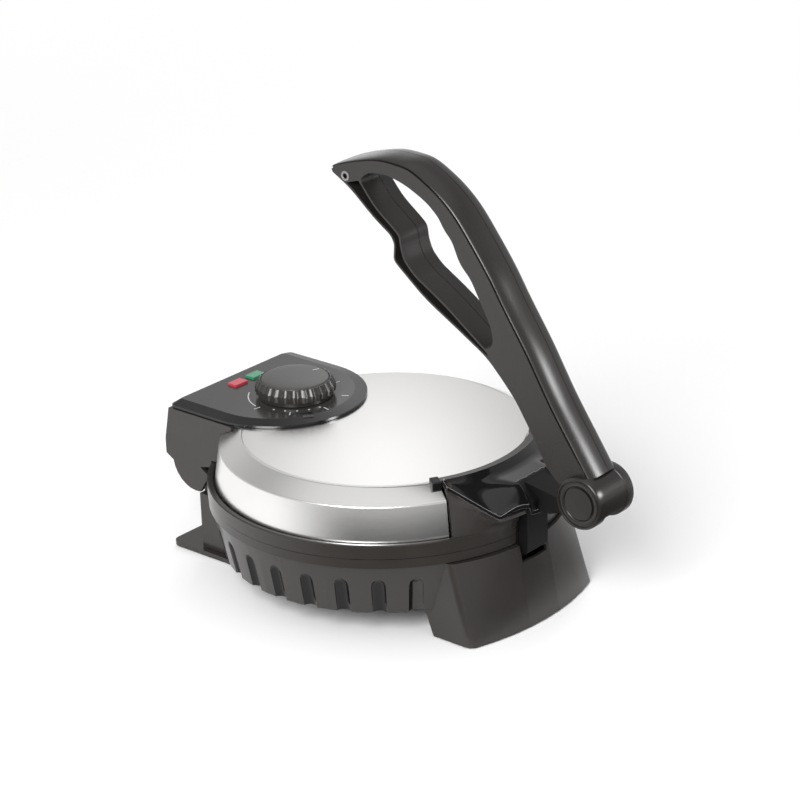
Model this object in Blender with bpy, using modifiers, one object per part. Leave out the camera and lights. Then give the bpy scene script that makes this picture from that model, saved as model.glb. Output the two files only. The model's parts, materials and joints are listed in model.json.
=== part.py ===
"""Electric roti maker: a round countertop press cooker with a hinged lid and a long lever handle.

Every piece is drawn in one frame: X across, +Y towards the hinge, Z up from the table,
with the axis of the two hot plates at X = 0, Y = 0. Lengths are in metres.
Run with: blender --background --python part.py
"""

import math

import bmesh
import bpy
from mathutils import Matrix, Vector

# Fits and cutting
GAP = 0.0003
RUNNING_GAP = 0.0008
PARTING_GAP = 0.0005
OVERRUN = 0.002
OVERLAP = 0.001

# Rounding of turned and bent work
RING_STEPS = 72
PLATE_STEPS = 48
PAN_STEPS = 36
SMALL_STEPS = 20
SCREW_STEPS = 10

# Lower case: a tapered skirt under a plain rim band
RIM_TOP = 0.0639
RIM_RADIUS = 0.124
RIM_BAND_HEIGHT = 0.0064
RIM_STEP = 0.0015
SKIRT_TOP_RADIUS = RIM_RADIUS - RIM_STEP
SKIRT_BOTTOM_RADIUS = 0.1148
SKIRT_BOTTOM = 0.0209
CASE_WALL = 0.0025
SKIRT_FLANGE_WIDTH = 0.006
SKIRT_FLANGE_HEIGHT = 0.004

# Arched flutes round both sides of the skirt
FLUTES_PER_SIDE = 8
FLUTE_FIRST_ANGLE = math.radians(40.5)
FLUTE_PITCH_ANGLE = math.radians(12.0)
FLUTE_RADIUS = 0.0056
FLUTE_DEPTH = 0.0035
FLUTE_HEIGHT = 0.0266
FLUTE_WALL = 0.0022
FLUTE_SIDES = 10

# Hot plates
PLATE_RADIUS = 0.101
PLATE_THICKNESS = 0.004
PLATE_EDGE_CHAMFER = 0.001
LOWER_PLATE_DEPTH = 0.0009
UPPER_PLATE_RECESS = 0.0006
PLATE_LEDGE_WIDTH = 0.005
UPPER_DISH_WALL = 0.004
UPPER_FLANGE_WIDTH = 0.0075
UPPER_FLANGE_THICKNESS = 0.0025
STUD_RADIUS = 0.0025
STUD_LENGTH = 0.0150
NUT_RADIUS = 0.0050
NUT_THICKNESS = 0.0035

# Heating elements and their reflector pans
ELEMENT_RADIUS = 0.065
ELEMENT_TUBE_RADIUS = 0.0033
ELEMENT_SWEEP = math.radians(330.0)
ELEMENT_POINTS = 30
PAN_RADIUS = 0.093
PAN_LIP_WIDTH = 0.004
PAN_DEPTH = 0.0095
PAN_SHEET = 0.0008
PAD_THICKNESS_WOOL = 0.004
PAD_RADIUS_WOOL = 0.080
FUSE_RADIUS = 0.0025
FUSE_LENGTH = 0.022

# Front foot, a flared hollow block moulded with the lower case
FOOT_LIFT = 0.001
FOOT_TOP = 0.0563
FOOT_GROUND_HALF_WIDTH = 0.066
FOOT_TOP_HALF_WIDTH = 0.0635
FOOT_GROUND_CORNER_Y = -0.1265
FOOT_TOP_CORNER_Y = -0.1085
FOOT_GROUND_APEX_Y = -0.1385
FOOT_TOP_APEX_Y = -0.1275
FOOT_GROUND_REAR_Y = -0.0945
FOOT_TOP_REAR_Y = -0.070
FOOT_ARC_POINTS = 9
FOOT_CORNER_RADIUS = 0.007
NOTCH_HALF_WIDTH = 0.013
NOTCH_BOTTOM = 0.0445
NOTCH_BACK_Y = -0.1222
NOTCH_TOP = 0.0735

# Feet and rear stand
PAD_RADIUS = 0.007
PAD_HEIGHT = 0.0028
SHELF_THICKNESS = 0.003
SHELF_WIDTH = 0.018
SHELF_DEPTH = 0.022
STAND_HALF_WIDTH = 0.068
STAND_REAR_Y = 0.147
STAND_FRONT_Y = 0.090
STAND_THICKNESS = 0.0035
STAND_RAIL_WIDTH = 0.030
STAND_BAR_DEPTH = 0.019
STAND_CORNER_RADIUS = 0.006
PILLAR_INNER_X = 0.040
PILLAR_OUTER_X = 0.063
PILLAR_FRONT_Y = 0.100
PILLAR_REAR_Y = 0.121
PILLAR_TOP = 0.0463
PILLAR_STEP_Y = 0.1115
PILLAR_STEP_TOP = 0.0500

# Lid hinge
HINGE_Y = 0.124
HINGE_Z = 0.0685
HINGE_PIN_RADIUS = 0.003
EAR_INNER_X = 0.050
EAR_OUTER_X = 0.0565
EAR_RADIUS = 0.009
EAR_FOOT_Z = 0.041
EAR_SEAT_Z = 0.0615
EAR_FRONT_Y = 0.104
CHEEK_BOSS_RADIUS = 0.0075

# Bottom cover, its bosses and screws
COVER_THICKNESS = 0.002
BOSS_RADIUS = 0.0040
BOSS_CIRCLE_RADIUS = 0.1000
BOSS_ANGLES = (math.radians(25.0), math.radians(145.0))
SCREW_RADIUS = 0.0015
SCREW_HEAD_RADIUS = 0.003
SCREW_HEAD_HEIGHT = 0.0018
SCREW_LENGTH = 0.009
VENT_COUNT = 5
VENT_LENGTH = 0.036
VENT_WIDTH = 0.003
VENT_PITCH = 0.008

# Cord gland in the skirt and the terminal block behind it
GLAND_RADIUS = 0.0075
GLAND_BORE_RADIUS = 0.0038
GLAND_COLLAR_RADIUS = 0.0085
GLAND_COLLAR_WIDTH = 0.0040
GLAND_TAIL = 0.0080
GLAND_Z = 0.0315
BLOCK_LENGTH = 0.034
BLOCK_DEPTH = 0.016
BLOCK_HEIGHT = 0.014
BLOCK_Y = 0.072

# Lid ring
RING_PROUD = 0.0004
RING_RADIUS = RIM_RADIUS + RING_PROUD
RING_HEIGHT = 0.0096
RING_WALL = 0.003
RING_CREST_INSET = 0.0010
RING_CREST_DROP = 0.0005
RING_FLOOR_HEIGHT = 0.0031
RING_FLOOR_THICKNESS = 0.003
RING_CREST_WIDTH = 0.0030

# Steel cover of the lid
STEEL_TOP = 0.1055
STEEL_TOP_RADIUS = 0.1004
STEEL_SHOULDER = 0.0975
STEEL_SHOULDER_RADIUS = 0.1150
STEEL_HEM_RADIUS = 0.1192
STEEL_SHEET = 0.001
STEEL_CUT_ANGLE = math.radians(29.2)
STEEL_CUT_RADIUS = 0.1028
WELL_HALF_WIDTH = 0.030
WELL_FRONT_Y = 0.060
WELL_REAR_Y = 0.112

# Front bracket of the lid: rim, glossy ramp, lip and wall
BRACKET_ANGLE = math.radians(28.7)
LIP_ANGLE = math.radians(16.5)
BRACKET_TOP_RADIUS = 0.1040
BRACKET_TOP_Z = 0.1072
LIP_RADIUS = 0.1370
LIP_TOP_Z = 0.0865
LIP_THICKNESS = 0.0028
BRACKET_SIDE_X = 0.053
BRACKET_SIDE_Y = -0.100
BRACKET_SIDE_Z = 0.1045
KNEE_PROUD = 0.0015
KNEE_RADIUS = RIM_RADIUS + KNEE_PROUD
KNEE_Z = 0.0790
KNEE_SIDE_RADIUS = 0.1168
KNEE_SIDE_Z = 0.0985
BRACKET_FOOT_Z = 0.0745
BRACKET_FOOT_PROUD = 0.0012
BRACKET_FOOT_RADIUS = RIM_RADIUS + BRACKET_FOOT_PROUD
BRACKET_FOOT_SIDE_RADIUS = 0.1225
BRACKET_ROOT_Z = 0.0668
BRACKET_ROOT_RADIUS = 0.1236
BRACKET_WALL = 0.003
BRACKET_SLICES = 15
COLLAR_ANGLE = math.radians(31.5)
COLLAR_INNER_RADIUS = 0.1002
COLLAR_OUTER_RADIUS = 0.1056
COLLAR_HEIGHT = 0.0024

# Tongue that carries the handle
PIVOT_Y = -0.1795
PIVOT_Z = 0.1030
PIVOT_PIN_RADIUS = 0.004
TONGUE_HALF_WIDTH = 0.016
TONGUE_TOP_Z = 0.1035
TONGUE_REAR_Y = -0.1045
TONGUE_KNEE_Y = -0.127
TONGUE_FRONT_Y = -0.141
TONGUE_FRONT_Z = 0.0935
TONGUE_BOTTOM_Z = 0.0835
TONGUE_ROOT_Z = 0.0800
WEB_HALF_WIDTH = 0.0103
WEB_TOP_Z = 0.0980
WEB_TOP_Y = -0.158
WEB_LOW_Y = -0.1500
WEB_LOW_Z = 0.0850
KNUCKLE_RADIUS = 0.0148
LUG_HALF_WIDTH = 0.011
LUG_BACK_Y = -0.1248
LUG_FRONT_Y = -0.1315
LUG_BOTTOM_Z = 0.0500

# Control housing at the rear of the lid
HOUSING_HALF_WIDTH = 0.063
HOUSING_CHEEK = 0.003
HOUSING_WALL = 0.0025
HOUSING_TOP = 0.1050
HOUSING_TOP_REAR_Y = 0.147
HOUSING_REAR_Y = 0.152
HOUSING_BEND_Z = 0.0805
HOUSING_REAR_LOW_Z = 0.0695
CHEEK_ARC_RADIUS = 0.0215
SWEEP_CLEARANCE = 0.0004
SWEEP_STEPS = 64
CHEEK_STEP_Y = 0.146
CHEEK_STEP_Z = 0.0655
CHEEK_FRONT_Y = 0.1110
CHEEK_FRONT_Z = 0.0615
CHEEK_NOTCH_Y = 0.1190
CHEEK_NOTCH_Z = 0.0665
CHEEK_BROW_Y = 0.1060
CHEEK_BROW_Z = 0.0700
HOUSING_FRONT_Y = 0.087
HOUSING_FLOOR_Z = 0.0815
HOUSING_FLOOR_THICKNESS = 0.0025
STEEL_CLEARANCE = 0.0004

# Control panel, a D with its round end over the steel top
PANEL_HALF_WIDTH = 0.062
PANEL_REAR_Y = 0.1465
PANEL_ARC_Y = 0.0985
PANEL_ARC_POINTS = 25
PANEL_CORNER_RADIUS = 0.004
PANEL_EDGE_HEIGHT = 0.0017
PANEL_RISE = 0.0020
PANEL_BEVEL_WIDTH = 0.0088
PANEL_WALL = 0.0018
PANEL_TAB_X = -0.023
PANEL_TAB_Y = 0.0515
PANEL_TAB_WIDTH = 0.008
PANEL_TAB_DEPTH = 0.005
PANEL_TAB_RISE = 0.0012
PANEL_PEG_RADIUS = 0.003
PANEL_PEG_X = 0.017
PANEL_HOLE_RADIUS = 0.0050

# Temperature knob, its spindle and thermostat
KNOB_Y = 0.083
KNOB_BAND_RADIUS = 0.0262
KNOB_BAND_HEIGHT = 0.0030
KNOB_GRIP_RADIUS = 0.0285
KNOB_GRIP_TOP_RADIUS = 0.0258
KNOB_GRIP_HEIGHT = 0.0092
KNOB_RIDGES = 32
KNOB_RIDGE_DEPTH = 0.0011
KNOB_CAP_RADIUS = 0.0240
KNOB_CAP_THICKNESS = 0.0018
KNOB_DOME_HEIGHT = 0.0018
KNOB_SHELL = 0.0022
KNOB_HUB_RADIUS = 0.0065
SPINDLE_RADIUS = 0.003
SPINDLE_REACH = 0.010
THERMOSTAT_HALF_WIDTH = 0.022
THERMOSTAT_HALF_DEPTH = 0.013
THERMOSTAT_HEIGHT = 0.014
THERMOSTAT_TOP = 0.1030

# Indicator lamps
LAMP_Y = 0.130
LAMP_RED_X = -0.0095
LAMP_GREEN_X = 0.0085
LENS_HALF_WIDTH = 0.006
LENS_HALF_DEPTH = 0.004
LENS_PROUD = 0.0016
LENS_FLANGE = 0.0010
LENS_FLANGE_THICKNESS = 0.0012
LAMP_RADIUS = 0.0032
LAMP_LENGTH = 0.0110

# Handle: two halves clamped round the tongue
HANDLE_HALF_WIDTH = 0.014
HANDLE_SEAM_X = 0.004
CROWN_HEIGHT = 0.0050
CROWN_INSET = 0.0006
CROWN_EDGE = 0.0008
CROWN_END_SHARE = 0.08
CROWN_TIP_SHARE = 0.55
HUB_RADIUS = 0.018
HUB_HALF_WIDTH = 0.0185
HUB_BORE_RADIUS = 0.0153
HUB_SHELL_START = math.radians(31.0)
HUB_SHELL_END = math.radians(208.0)
HUB_SHELL_POINTS = 18
HUB_SHELL_STEP = 0.0004
HUB_RIM_RADIUS = 0.016
HUB_RIM_DEPTH = 0.0012
PIN_HEAD_RADIUS = 0.0075
PIN_HEAD_HEIGHT = 0.0022
PIN_SHOULDER_X = 0.0142
CAP_RADIUS = 0.011
CAP_THICKNESS = 0.0008
STRAP_POCKET_DEPTH = 0.010
TIP_BOSS_RADIUS = 0.0042
TIP_BOSS_HOLE_RADIUS = 0.0018
HANDLE_SCREW_RADIUS = 0.0015
HANDLE_SCREW_HEAD_RADIUS = 0.0030
HANDLE_SCREW_SEAT = 0.003
CAVITY_WALL = 0.0025

# Handle outline in the YZ plane, as shares of its reach and rise from the pivot
HANDLE_REACH = 0.207
HANDLE_RISE = 0.199
BACK_SHARES = (
    (0.0386, 0.1658), (0.1304, 0.3065), (0.2174, 0.4573), (0.3043, 0.5930), (0.3623, 0.6884),
    (0.4300, 0.7839), (0.4928, 0.8643), (0.5459, 0.9146), (0.6039, 0.9548), (0.6715, 0.9899),
    (0.7343, 1.0000), (0.8068, 1.0000), (0.8986, 0.9799), (0.9758, 0.9548),
)
BELLY_SHARES = (
    (1.0000, 0.9372), (0.9952, 0.9271), (0.9227, 0.8844), (0.8309, 0.8040), (0.7585, 0.7538),
    (0.7440, 0.7286), (0.7488, 0.6683), (0.7198, 0.6432), (0.6232, 0.5628), (0.4783, 0.4774),
    (0.3720, 0.4121), (0.3092, 0.3467), (0.2609, 0.2915), (0.2077, 0.2060), (0.1691, 0.1407),
    (0.1353, 0.0754), (0.0773, 0.0302),
)
LOOP_SHARES = (
    (0.8816, 0.9221), (0.8478, 0.9523), (0.7754, 0.9623), (0.6932, 0.9422), (0.6304, 0.9121),
    (0.5966, 0.8920), (0.5580, 0.8568), (0.5338, 0.8166), (0.5048, 0.7864), (0.4758, 0.7161),
    (0.4324, 0.6709), (0.4082, 0.6256), (0.3551, 0.5251), (0.3454, 0.4698), (0.3696, 0.4347),
    (0.5242, 0.5503), (0.5773, 0.5854), (0.6594, 0.6357), (0.6981, 0.6759), (0.7126, 0.7161),
    (0.7174, 0.7613), (0.7464, 0.7864), (0.8188, 0.8417),
)
POCKET_SHARES = (
    (0.9200, 0.8980), (0.8640, 0.9000), (0.8250, 0.8720), (0.7480, 0.8120), (0.6980, 0.7800),
    (0.6830, 0.7200), (0.6500, 0.6560), (0.5600, 0.5980), (0.3900, 0.4760), (0.3550, 0.4500),
    (0.3850, 0.4350), (0.4900, 0.4980), (0.6130, 0.5740), (0.7050, 0.6520), (0.7330, 0.6760),
    (0.7290, 0.7290), (0.7480, 0.7640), (0.8200, 0.8160), (0.9100, 0.8930),
)
ARM_CAVITY_SHARES = (
    (0.2000, 0.3300), (0.2650, 0.4350), (0.3000, 0.4700), (0.3000, 0.4000), (0.2500, 0.3330),
    (0.1950, 0.2450), (0.1650, 0.2500),
)
TIP_SCREW_SHARE = (0.9420, 0.9230)
ARM_SCREW_SHARES = ((0.1350, 0.2150), (0.3330, 0.4500))

# The whole object stands with its origin under the middle of its box
FRONT_REACH = HUB_RADIUS - PIVOT_Y
PLATE_Y = (FRONT_REACH - HOUSING_REAR_Y) / 2

# Levels worked out from the sizes above
RING_BOTTOM = RIM_TOP + PARTING_GAP
RING_TOP = RING_BOTTOM + RING_HEIGHT
RING_FLOOR_BOTTOM = RING_BOTTOM + RING_FLOOR_HEIGHT
RING_FLOOR_TOP = RING_FLOOR_BOTTOM + RING_FLOOR_THICKNESS
LOWER_PLATE_TOP = RIM_TOP - LOWER_PLATE_DEPTH
LOWER_PLATE_BOTTOM = LOWER_PLATE_TOP - PLATE_THICKNESS
LEDGE_TOP = LOWER_PLATE_BOTTOM - GAP
UPPER_PLATE_BOTTOM = RING_BOTTOM + UPPER_PLATE_RECESS
UPPER_DISH_FLOOR = UPPER_PLATE_BOTTOM + PLATE_THICKNESS
UPPER_FLANGE_BOTTOM = RING_FLOOR_TOP + GAP
UPPER_FLANGE_TOP = UPPER_FLANGE_BOTTOM + UPPER_FLANGE_THICKNESS
PANEL_BOTTOM = STEEL_TOP + GAP
PANEL_EDGE_TOP = PANEL_BOTTOM + PANEL_EDGE_HEIGHT
PANEL_TOP = PANEL_EDGE_TOP + PANEL_RISE
KNOB_BOTTOM = PANEL_TOP + RUNNING_GAP
KNOB_BAND_TOP = KNOB_BOTTOM + KNOB_BAND_HEIGHT
KNOB_GRIP_TOP = KNOB_BAND_TOP + KNOB_GRIP_HEIGHT
KNOB_FACE = KNOB_GRIP_TOP - KNOB_CAP_THICKNESS
COVER_TOP = SKIRT_BOTTOM + COVER_THICKNESS
WELL_RADIUS = PLATE_RADIUS + 2 * GAP
SKIRT_TOP = RIM_TOP - RIM_BAND_HEIGHT
SKIRT_SLOPE = math.atan2(SKIRT_TOP_RADIUS - SKIRT_BOTTOM_RADIUS, SKIRT_TOP - SKIRT_BOTTOM)


def clear_scene():
    for item in list(bpy.data.objects):
        bpy.data.objects.remove(item, do_unlink=True)


def new_collection(name):
    collection = bpy.data.collections.new(name)
    bpy.context.scene.collection.children.link(collection)
    return collection


clear_scene()
PARTS = new_collection("electric_roti_maker")
CUTTERS = new_collection("cutters")


def material(name, color, roughness, metallic=0.0):
    made = bpy.data.materials.new(name)
    made.use_nodes = True
    shader = made.node_tree.nodes["Principled BSDF"]
    shader.inputs["Base Color"].default_value = (*color, 1.0)
    shader.inputs["Roughness"].default_value = roughness
    shader.inputs["Metallic"].default_value = metallic
    made.diffuse_color = (*color, 1.0)
    return made


MATERIALS = {
    "case": material("case_black", (0.045, 0.043, 0.042), 0.42),
    "handle": material("handle_black", (0.060, 0.058, 0.056), 0.38),
    "panel": material("panel_grey", (0.085, 0.084, 0.083), 0.45),
    "steel": material("brushed_steel", (0.72, 0.71, 0.69), 0.25, 1.0),
    "plate": material("nonstick_plate", (0.055, 0.055, 0.058), 0.50, 0.2),
    "element": material("element_sheath", (0.35, 0.34, 0.32), 0.45, 1.0),
    "sheet": material("sheet_metal", (0.62, 0.62, 0.62), 0.35, 1.0),
    "rubber": material("rubber", (0.03, 0.03, 0.03), 0.80),
    "screw": material("screw_steel", (0.55, 0.55, 0.55), 0.30, 1.0),
    "ceramic": material("ceramic", (0.85, 0.83, 0.78), 0.60),
    "wool": material("glass_wool", (0.90, 0.88, 0.78), 0.95),
    "red": material("red_lens", (0.62, 0.06, 0.10), 0.20),
    "green": material("green_lens", (0.05, 0.35, 0.20), 0.20),
}


def empty(name, location, parent=None):
    made = bpy.data.objects.new(name, None)
    PARTS.objects.link(made)
    made.parent = parent
    made.location = location
    return made


# One empty on each joint axis carries the pieces that move with it
BASE = empty("base_frame", (0, PLATE_Y, 0))
LID = empty("lid_hinge_axis", (0, HINGE_Y, HINGE_Z), BASE)
HANDLE = empty("handle_pivot_axis", (0, PIVOT_Y - HINGE_Y, PIVOT_Z - HINGE_Z), LID)
KNOB = empty("knob_axis", (0, KNOB_Y - HINGE_Y, KNOB_BOTTOM - HINGE_Z), LID)
AXIS_PLACES = {
    BASE: Vector((0, 0, 0)),
    LID: Vector((0, HINGE_Y, HINGE_Z)),
    HANDLE: Vector((0, PIVOT_Y, PIVOT_Z)),
    KNOB: Vector((0, KNOB_Y, KNOB_BOTTOM)),
}


def add_object(mesh, name="tool"):
    """A hidden wire tool in the frame of the base; part() turns it into a piece."""
    made = bpy.data.objects.new(name, mesh)
    CUTTERS.objects.link(made)
    made.parent = BASE
    made.hide_render = True
    made.display_type = "WIRE"
    return made


def part(made, name, carrier, material_name):
    """Make a finished tool a named piece that is carried by one of the joint empties."""
    CUTTERS.objects.unlink(made)
    PARTS.objects.link(made)
    made.name = name
    made.data.name = name
    made.hide_render = False
    made.display_type = "TEXTURED"
    made.parent = carrier
    made.matrix_parent_inverse = Matrix.Translation(-AXIS_PLACES[carrier])
    made.data.materials.clear()
    made.data.materials.append(MATERIALS[material_name])
    return made


def finish_mesh(shape, name="tool"):
    bmesh.ops.recalc_face_normals(shape, faces=shape.faces)
    mesh = bpy.data.meshes.new(name)
    shape.to_mesh(mesh)
    shape.free()
    mesh.shade_smooth()
    mesh.set_sharp_from_angle(angle=math.radians(35.0))
    return mesh


def box(low, high):
    shape = bmesh.new()
    bmesh.ops.create_cube(shape, size=1.0)
    low, high = Vector(low), Vector(high)
    for vertex in shape.verts:
        vertex.co = [a + (b - a) * (0.5 + c) for a, b, c in zip(low, high, vertex.co)]
    return add_object(finish_mesh(shape))


def rod(start, end, radius, steps=SMALL_STEPS, end_radius=None):
    """A cylinder between two points, or a cone where the end radius differs."""
    shape = bmesh.new()
    start, end = Vector(start), Vector(end)
    axis = end - start
    turn = axis.to_track_quat("Z", "Y").to_matrix().to_4x4()
    bmesh.ops.create_cone(
        shape, cap_ends=True, segments=steps, radius1=radius,
        radius2=radius if end_radius is None else end_radius, depth=axis.length,
        matrix=Matrix.Translation((start + end) / 2) @ turn,
    )
    return add_object(finish_mesh(shape))


def turned(profile, steps=RING_STEPS, centre_y=0.0, ring=True):
    """Turn a profile of (radius, height) about the vertical; it runs down its outer side first."""
    mesh = bpy.data.meshes.new("turned")
    count = len(profile)
    edges = [(i, (i + 1) % count) for i in range(count if ring else count - 1)]
    mesh.from_pydata([(radius, 0, height) for radius, height in profile], edges, [])
    made = add_object(mesh)
    made.location = (0, centre_y, 0)
    screw = made.modifiers.new("turn", "SCREW")
    screw.axis = "Z"
    screw.steps = steps
    screw.render_steps = steps
    screw.use_merge_vertices = True
    screw.merge_threshold = 0.00001
    screw.use_smooth_shade = True
    return made


def disc(radius, bottom, top, steps=PLATE_STEPS, centre_y=0.0):
    return rod((0, centre_y, bottom), (0, centre_y, top), radius, steps)


def annulus(outer, inner, bottom, top, steps=PLATE_STEPS, centre_y=0.0):
    return turned([(outer, top), (outer, bottom), (inner, bottom), (inner, top)], steps, centre_y)


def extruded(outlines, low, high, facing):
    """Fill flat outlines (a later one is a hole) and extrude them from low to high along an axis."""
    curve = bpy.data.curves.new("outline", "CURVE")
    curve.dimensions = "2D"
    curve.fill_mode = "BOTH"
    curve.extrude = (high - low) / 2
    for outline in outlines:
        spline = curve.splines.new("POLY")
        spline.points.add(len(outline) - 1)
        for point, (a, b) in zip(spline.points, outline):
            point.co = (a, b, 0, 1)
        spline.use_cyclic_u = True
    guide = bpy.data.objects.new("outline", curve)
    CUTTERS.objects.link(guide)
    bpy.context.view_layer.update()
    graph = bpy.context.evaluated_depsgraph_get()
    mesh = bpy.data.meshes.new_from_object(guide.evaluated_get(graph))
    bpy.data.objects.remove(guide, do_unlink=True)
    mesh.transform(Matrix.Translation((0, 0, (low + high) / 2)))
    if facing == "X":
        mesh.transform(Matrix(((0, 0, 1, 0), (1, 0, 0, 0), (0, 1, 0, 0), (0, 0, 0, 1))))
    shape = bmesh.new()
    shape.from_mesh(mesh)
    bmesh.ops.remove_doubles(shape, verts=shape.verts, dist=0.00001)
    return add_object(finish_mesh(shape))


def side_plate(outline, low_x, high_x, *holes):
    return extruded([outline, *holes], low_x, high_x, "X")


def plan_plate(outline, bottom, top, *holes):
    return extruded([outline, *holes], bottom, top, "Z")


def loft(sections):
    """Skin between sections that have the same number of points, with capped ends."""
    shape = bmesh.new()
    rows = [[shape.verts.new(point) for point in section] for section in sections]
    count = len(rows[0])
    for row, after in zip(rows, rows[1:]):
        for i in range(count):
            j = (i + 1) % count
            shape.faces.new((row[i], row[j], after[j], after[i]))
    bmesh.ops.triangulate(shape, faces=list(shape.faces))
    shape.faces.new(rows[0][::-1])
    shape.faces.new(rows[-1])
    return add_object(finish_mesh(shape))


def tube(points, radius):
    """A bent rod: a poly curve with a round bevel and filled caps, made a closed mesh."""
    curve = bpy.data.curves.new("tube", "CURVE")
    curve.dimensions = "3D"
    curve.bevel_depth = radius
    curve.bevel_resolution = 1
    curve.use_fill_caps = True
    spline = curve.splines.new("POLY")
    spline.points.add(len(points) - 1)
    for target, point in zip(spline.points, points):
        target.co = (*point, 1)
    guide = bpy.data.objects.new("tube", curve)
    CUTTERS.objects.link(guide)
    bpy.context.view_layer.update()
    graph = bpy.context.evaluated_depsgraph_get()
    mesh = bpy.data.meshes.new_from_object(guide.evaluated_get(graph))
    bpy.data.objects.remove(guide, do_unlink=True)
    shape = bmesh.new()
    shape.from_mesh(mesh)
    bmesh.ops.remove_doubles(shape, verts=shape.verts, dist=0.00001)
    return add_object(finish_mesh(shape))


def merged(tools):
    """Gather separate tools that don't touch into one tool, with their modifiers applied."""
    bpy.context.view_layer.update()
    graph = bpy.context.evaluated_depsgraph_get()
    shape = bmesh.new()
    for tool in tools:
        mesh = bpy.data.meshes.new_from_object(tool.evaluated_get(graph))
        mesh.transform(tool.matrix_local)
        shape.from_mesh(mesh)
        bpy.data.objects.remove(tool, do_unlink=True)
        bpy.data.meshes.remove(mesh)
    mesh = bpy.data.meshes.new("merged")
    shape.to_mesh(mesh)
    shape.free()
    return add_object(mesh)


def combine(made, operation, tools):
    for tool in tools:
        step = made.modifiers.new(operation.lower(), "BOOLEAN")
        step.operation = operation
        step.object = tool
    return made


def cut(made, *tools):
    return combine(made, "DIFFERENCE", tools)


def join(made, *tools):
    return combine(made, "UNION", tools)


def common(made, *tools):
    return combine(made, "INTERSECT", tools)


def polar(radius, angle, height):
    """A point at an angle from the front axis, positive towards +X."""
    return (radius * math.sin(angle), -radius * math.cos(angle), height)


def ramp(low, high, share):
    return low + (high - low) * share


def arc(centre, radius, start, end, count):
    steps = [start + (end - start) * i / (count - 1) for i in range(count)]
    return [(centre[0] + radius * math.cos(a), centre[1] + radius * math.sin(a)) for a in steps]


def skirt_core():
    """The round space inside the middle of the case wall."""
    inset = CASE_WALL / 2
    low = SKIRT_BOTTOM - OVERLAP
    profile = [
        (0, RIM_TOP + OVERRUN),
        (SKIRT_TOP_RADIUS - inset, RIM_TOP + OVERRUN),
        (SKIRT_TOP_RADIUS - inset, SKIRT_TOP),
        (SKIRT_BOTTOM_RADIUS - inset, SKIRT_BOTTOM),
        (SKIRT_BOTTOM_RADIUS - inset, low),
        (0, low),
    ]
    return turned(profile, RING_STEPS, 0.0, False)


def flute_angles():
    side = [FLUTE_FIRST_ANGLE + FLUTE_PITCH_ANGLE * i for i in range(FLUTES_PER_SIDE)]
    return side + [-angle for angle in side]


def flute_tool(angle, radius, foot_run, dome_angles):
    """A round-topped rod lying along the skirt's slope, as deep in it as a flute."""
    offset = FLUTE_RADIUS - FLUTE_DEPTH
    half_width = math.sqrt(FLUTE_RADIUS ** 2 - offset ** 2)
    length = FLUTE_HEIGHT / math.cos(SKIRT_SLOPE) - half_width
    around = Vector((math.cos(angle), math.sin(angle), 0))
    outward = Vector(polar(math.cos(SKIRT_SLOPE), angle, -math.sin(SKIRT_SLOPE)))
    upward = Vector(polar(math.sin(SKIRT_SLOPE), angle, math.cos(SKIRT_SLOPE)))
    foot = Vector(polar(SKIRT_BOTTOM_RADIUS, angle, SKIRT_BOTTOM)) + outward * offset
    dome = [(length + radius * math.sin(a), radius * math.cos(a)) for a in
            (math.radians(degrees) for degrees in dome_angles)]
    sections = []
    for run, ring_radius in [(-foot_run, radius)] + dome:
        centre = foot + upward * run
        turn = [2 * math.pi * (i + 0.5) / FLUTE_SIDES for i in range(FLUTE_SIDES)]
        sections.append([centre + (outward * math.cos(t) + around * math.sin(t)) * ring_radius for t in turn])
    return loft(sections)


def foot_section(height, inset):
    """One level of the front foot's outline, flaring towards the ground."""
    share = (height - FOOT_LIFT) / (FOOT_TOP - FOOT_LIFT)
    half_width = ramp(FOOT_GROUND_HALF_WIDTH, FOOT_TOP_HALF_WIDTH, share) - inset
    corner = ramp(FOOT_GROUND_CORNER_Y, FOOT_TOP_CORNER_Y, share) + inset
    apex = ramp(FOOT_GROUND_APEX_Y, FOOT_TOP_APEX_Y, share) + inset
    rear = ramp(FOOT_GROUND_REAR_Y, FOOT_TOP_REAR_Y, share)
    bow = corner - apex
    radius = (half_width ** 2 + bow ** 2) / (2 * bow)
    edge = FOOT_CORNER_RADIUS - inset
    bow_centre = apex + radius
    across = half_width - edge
    corner_y = bow_centre - math.sqrt((radius - edge) ** 2 - across ** 2)
    meet = math.atan2(across, bow_centre - corner_y)
    angles = [meet * (2 * i / (FOOT_ARC_POINTS - 1) - 1) for i in range(FOOT_ARC_POINTS)]
    front = [(radius * math.sin(a), bow_centre - radius * math.cos(a)) for a in angles]
    bend = arc((across, corner_y), edge, meet - math.pi / 2, 0.0, 4)[1:]
    front = [(-x, y) for x, y in reversed(bend)] + front + bend
    back = rear + (inset and OVERRUN)
    return [(x, y, height) for x, y in front + [(half_width, back), (-half_width, back)]]


def front_foot():
    solid = loft([foot_section(FOOT_LIFT, 0), foot_section(FOOT_TOP, 0)])
    hollow = loft([foot_section(FOOT_LIFT - OVERRUN, CASE_WALL), foot_section(FOOT_TOP - CASE_WALL, CASE_WALL)])
    shelf_low = PAD_HEIGHT + GAP
    for side in (-1, 1):
        inner = side * (FOOT_GROUND_HALF_WIDTH - SHELF_WIDTH)
        outer = side * (FOOT_GROUND_HALF_WIDTH + OVERRUN)
        shelf = box(
            (min(inner, outer), FOOT_GROUND_CORNER_Y - SHELF_WIDTH / 2, shelf_low),
            (max(inner, outer), FOOT_GROUND_CORNER_Y + SHELF_DEPTH, shelf_low + SHELF_THICKNESS),
        )
        cut(hollow, shelf)
    return cut(solid, hollow, skirt_core())


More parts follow.
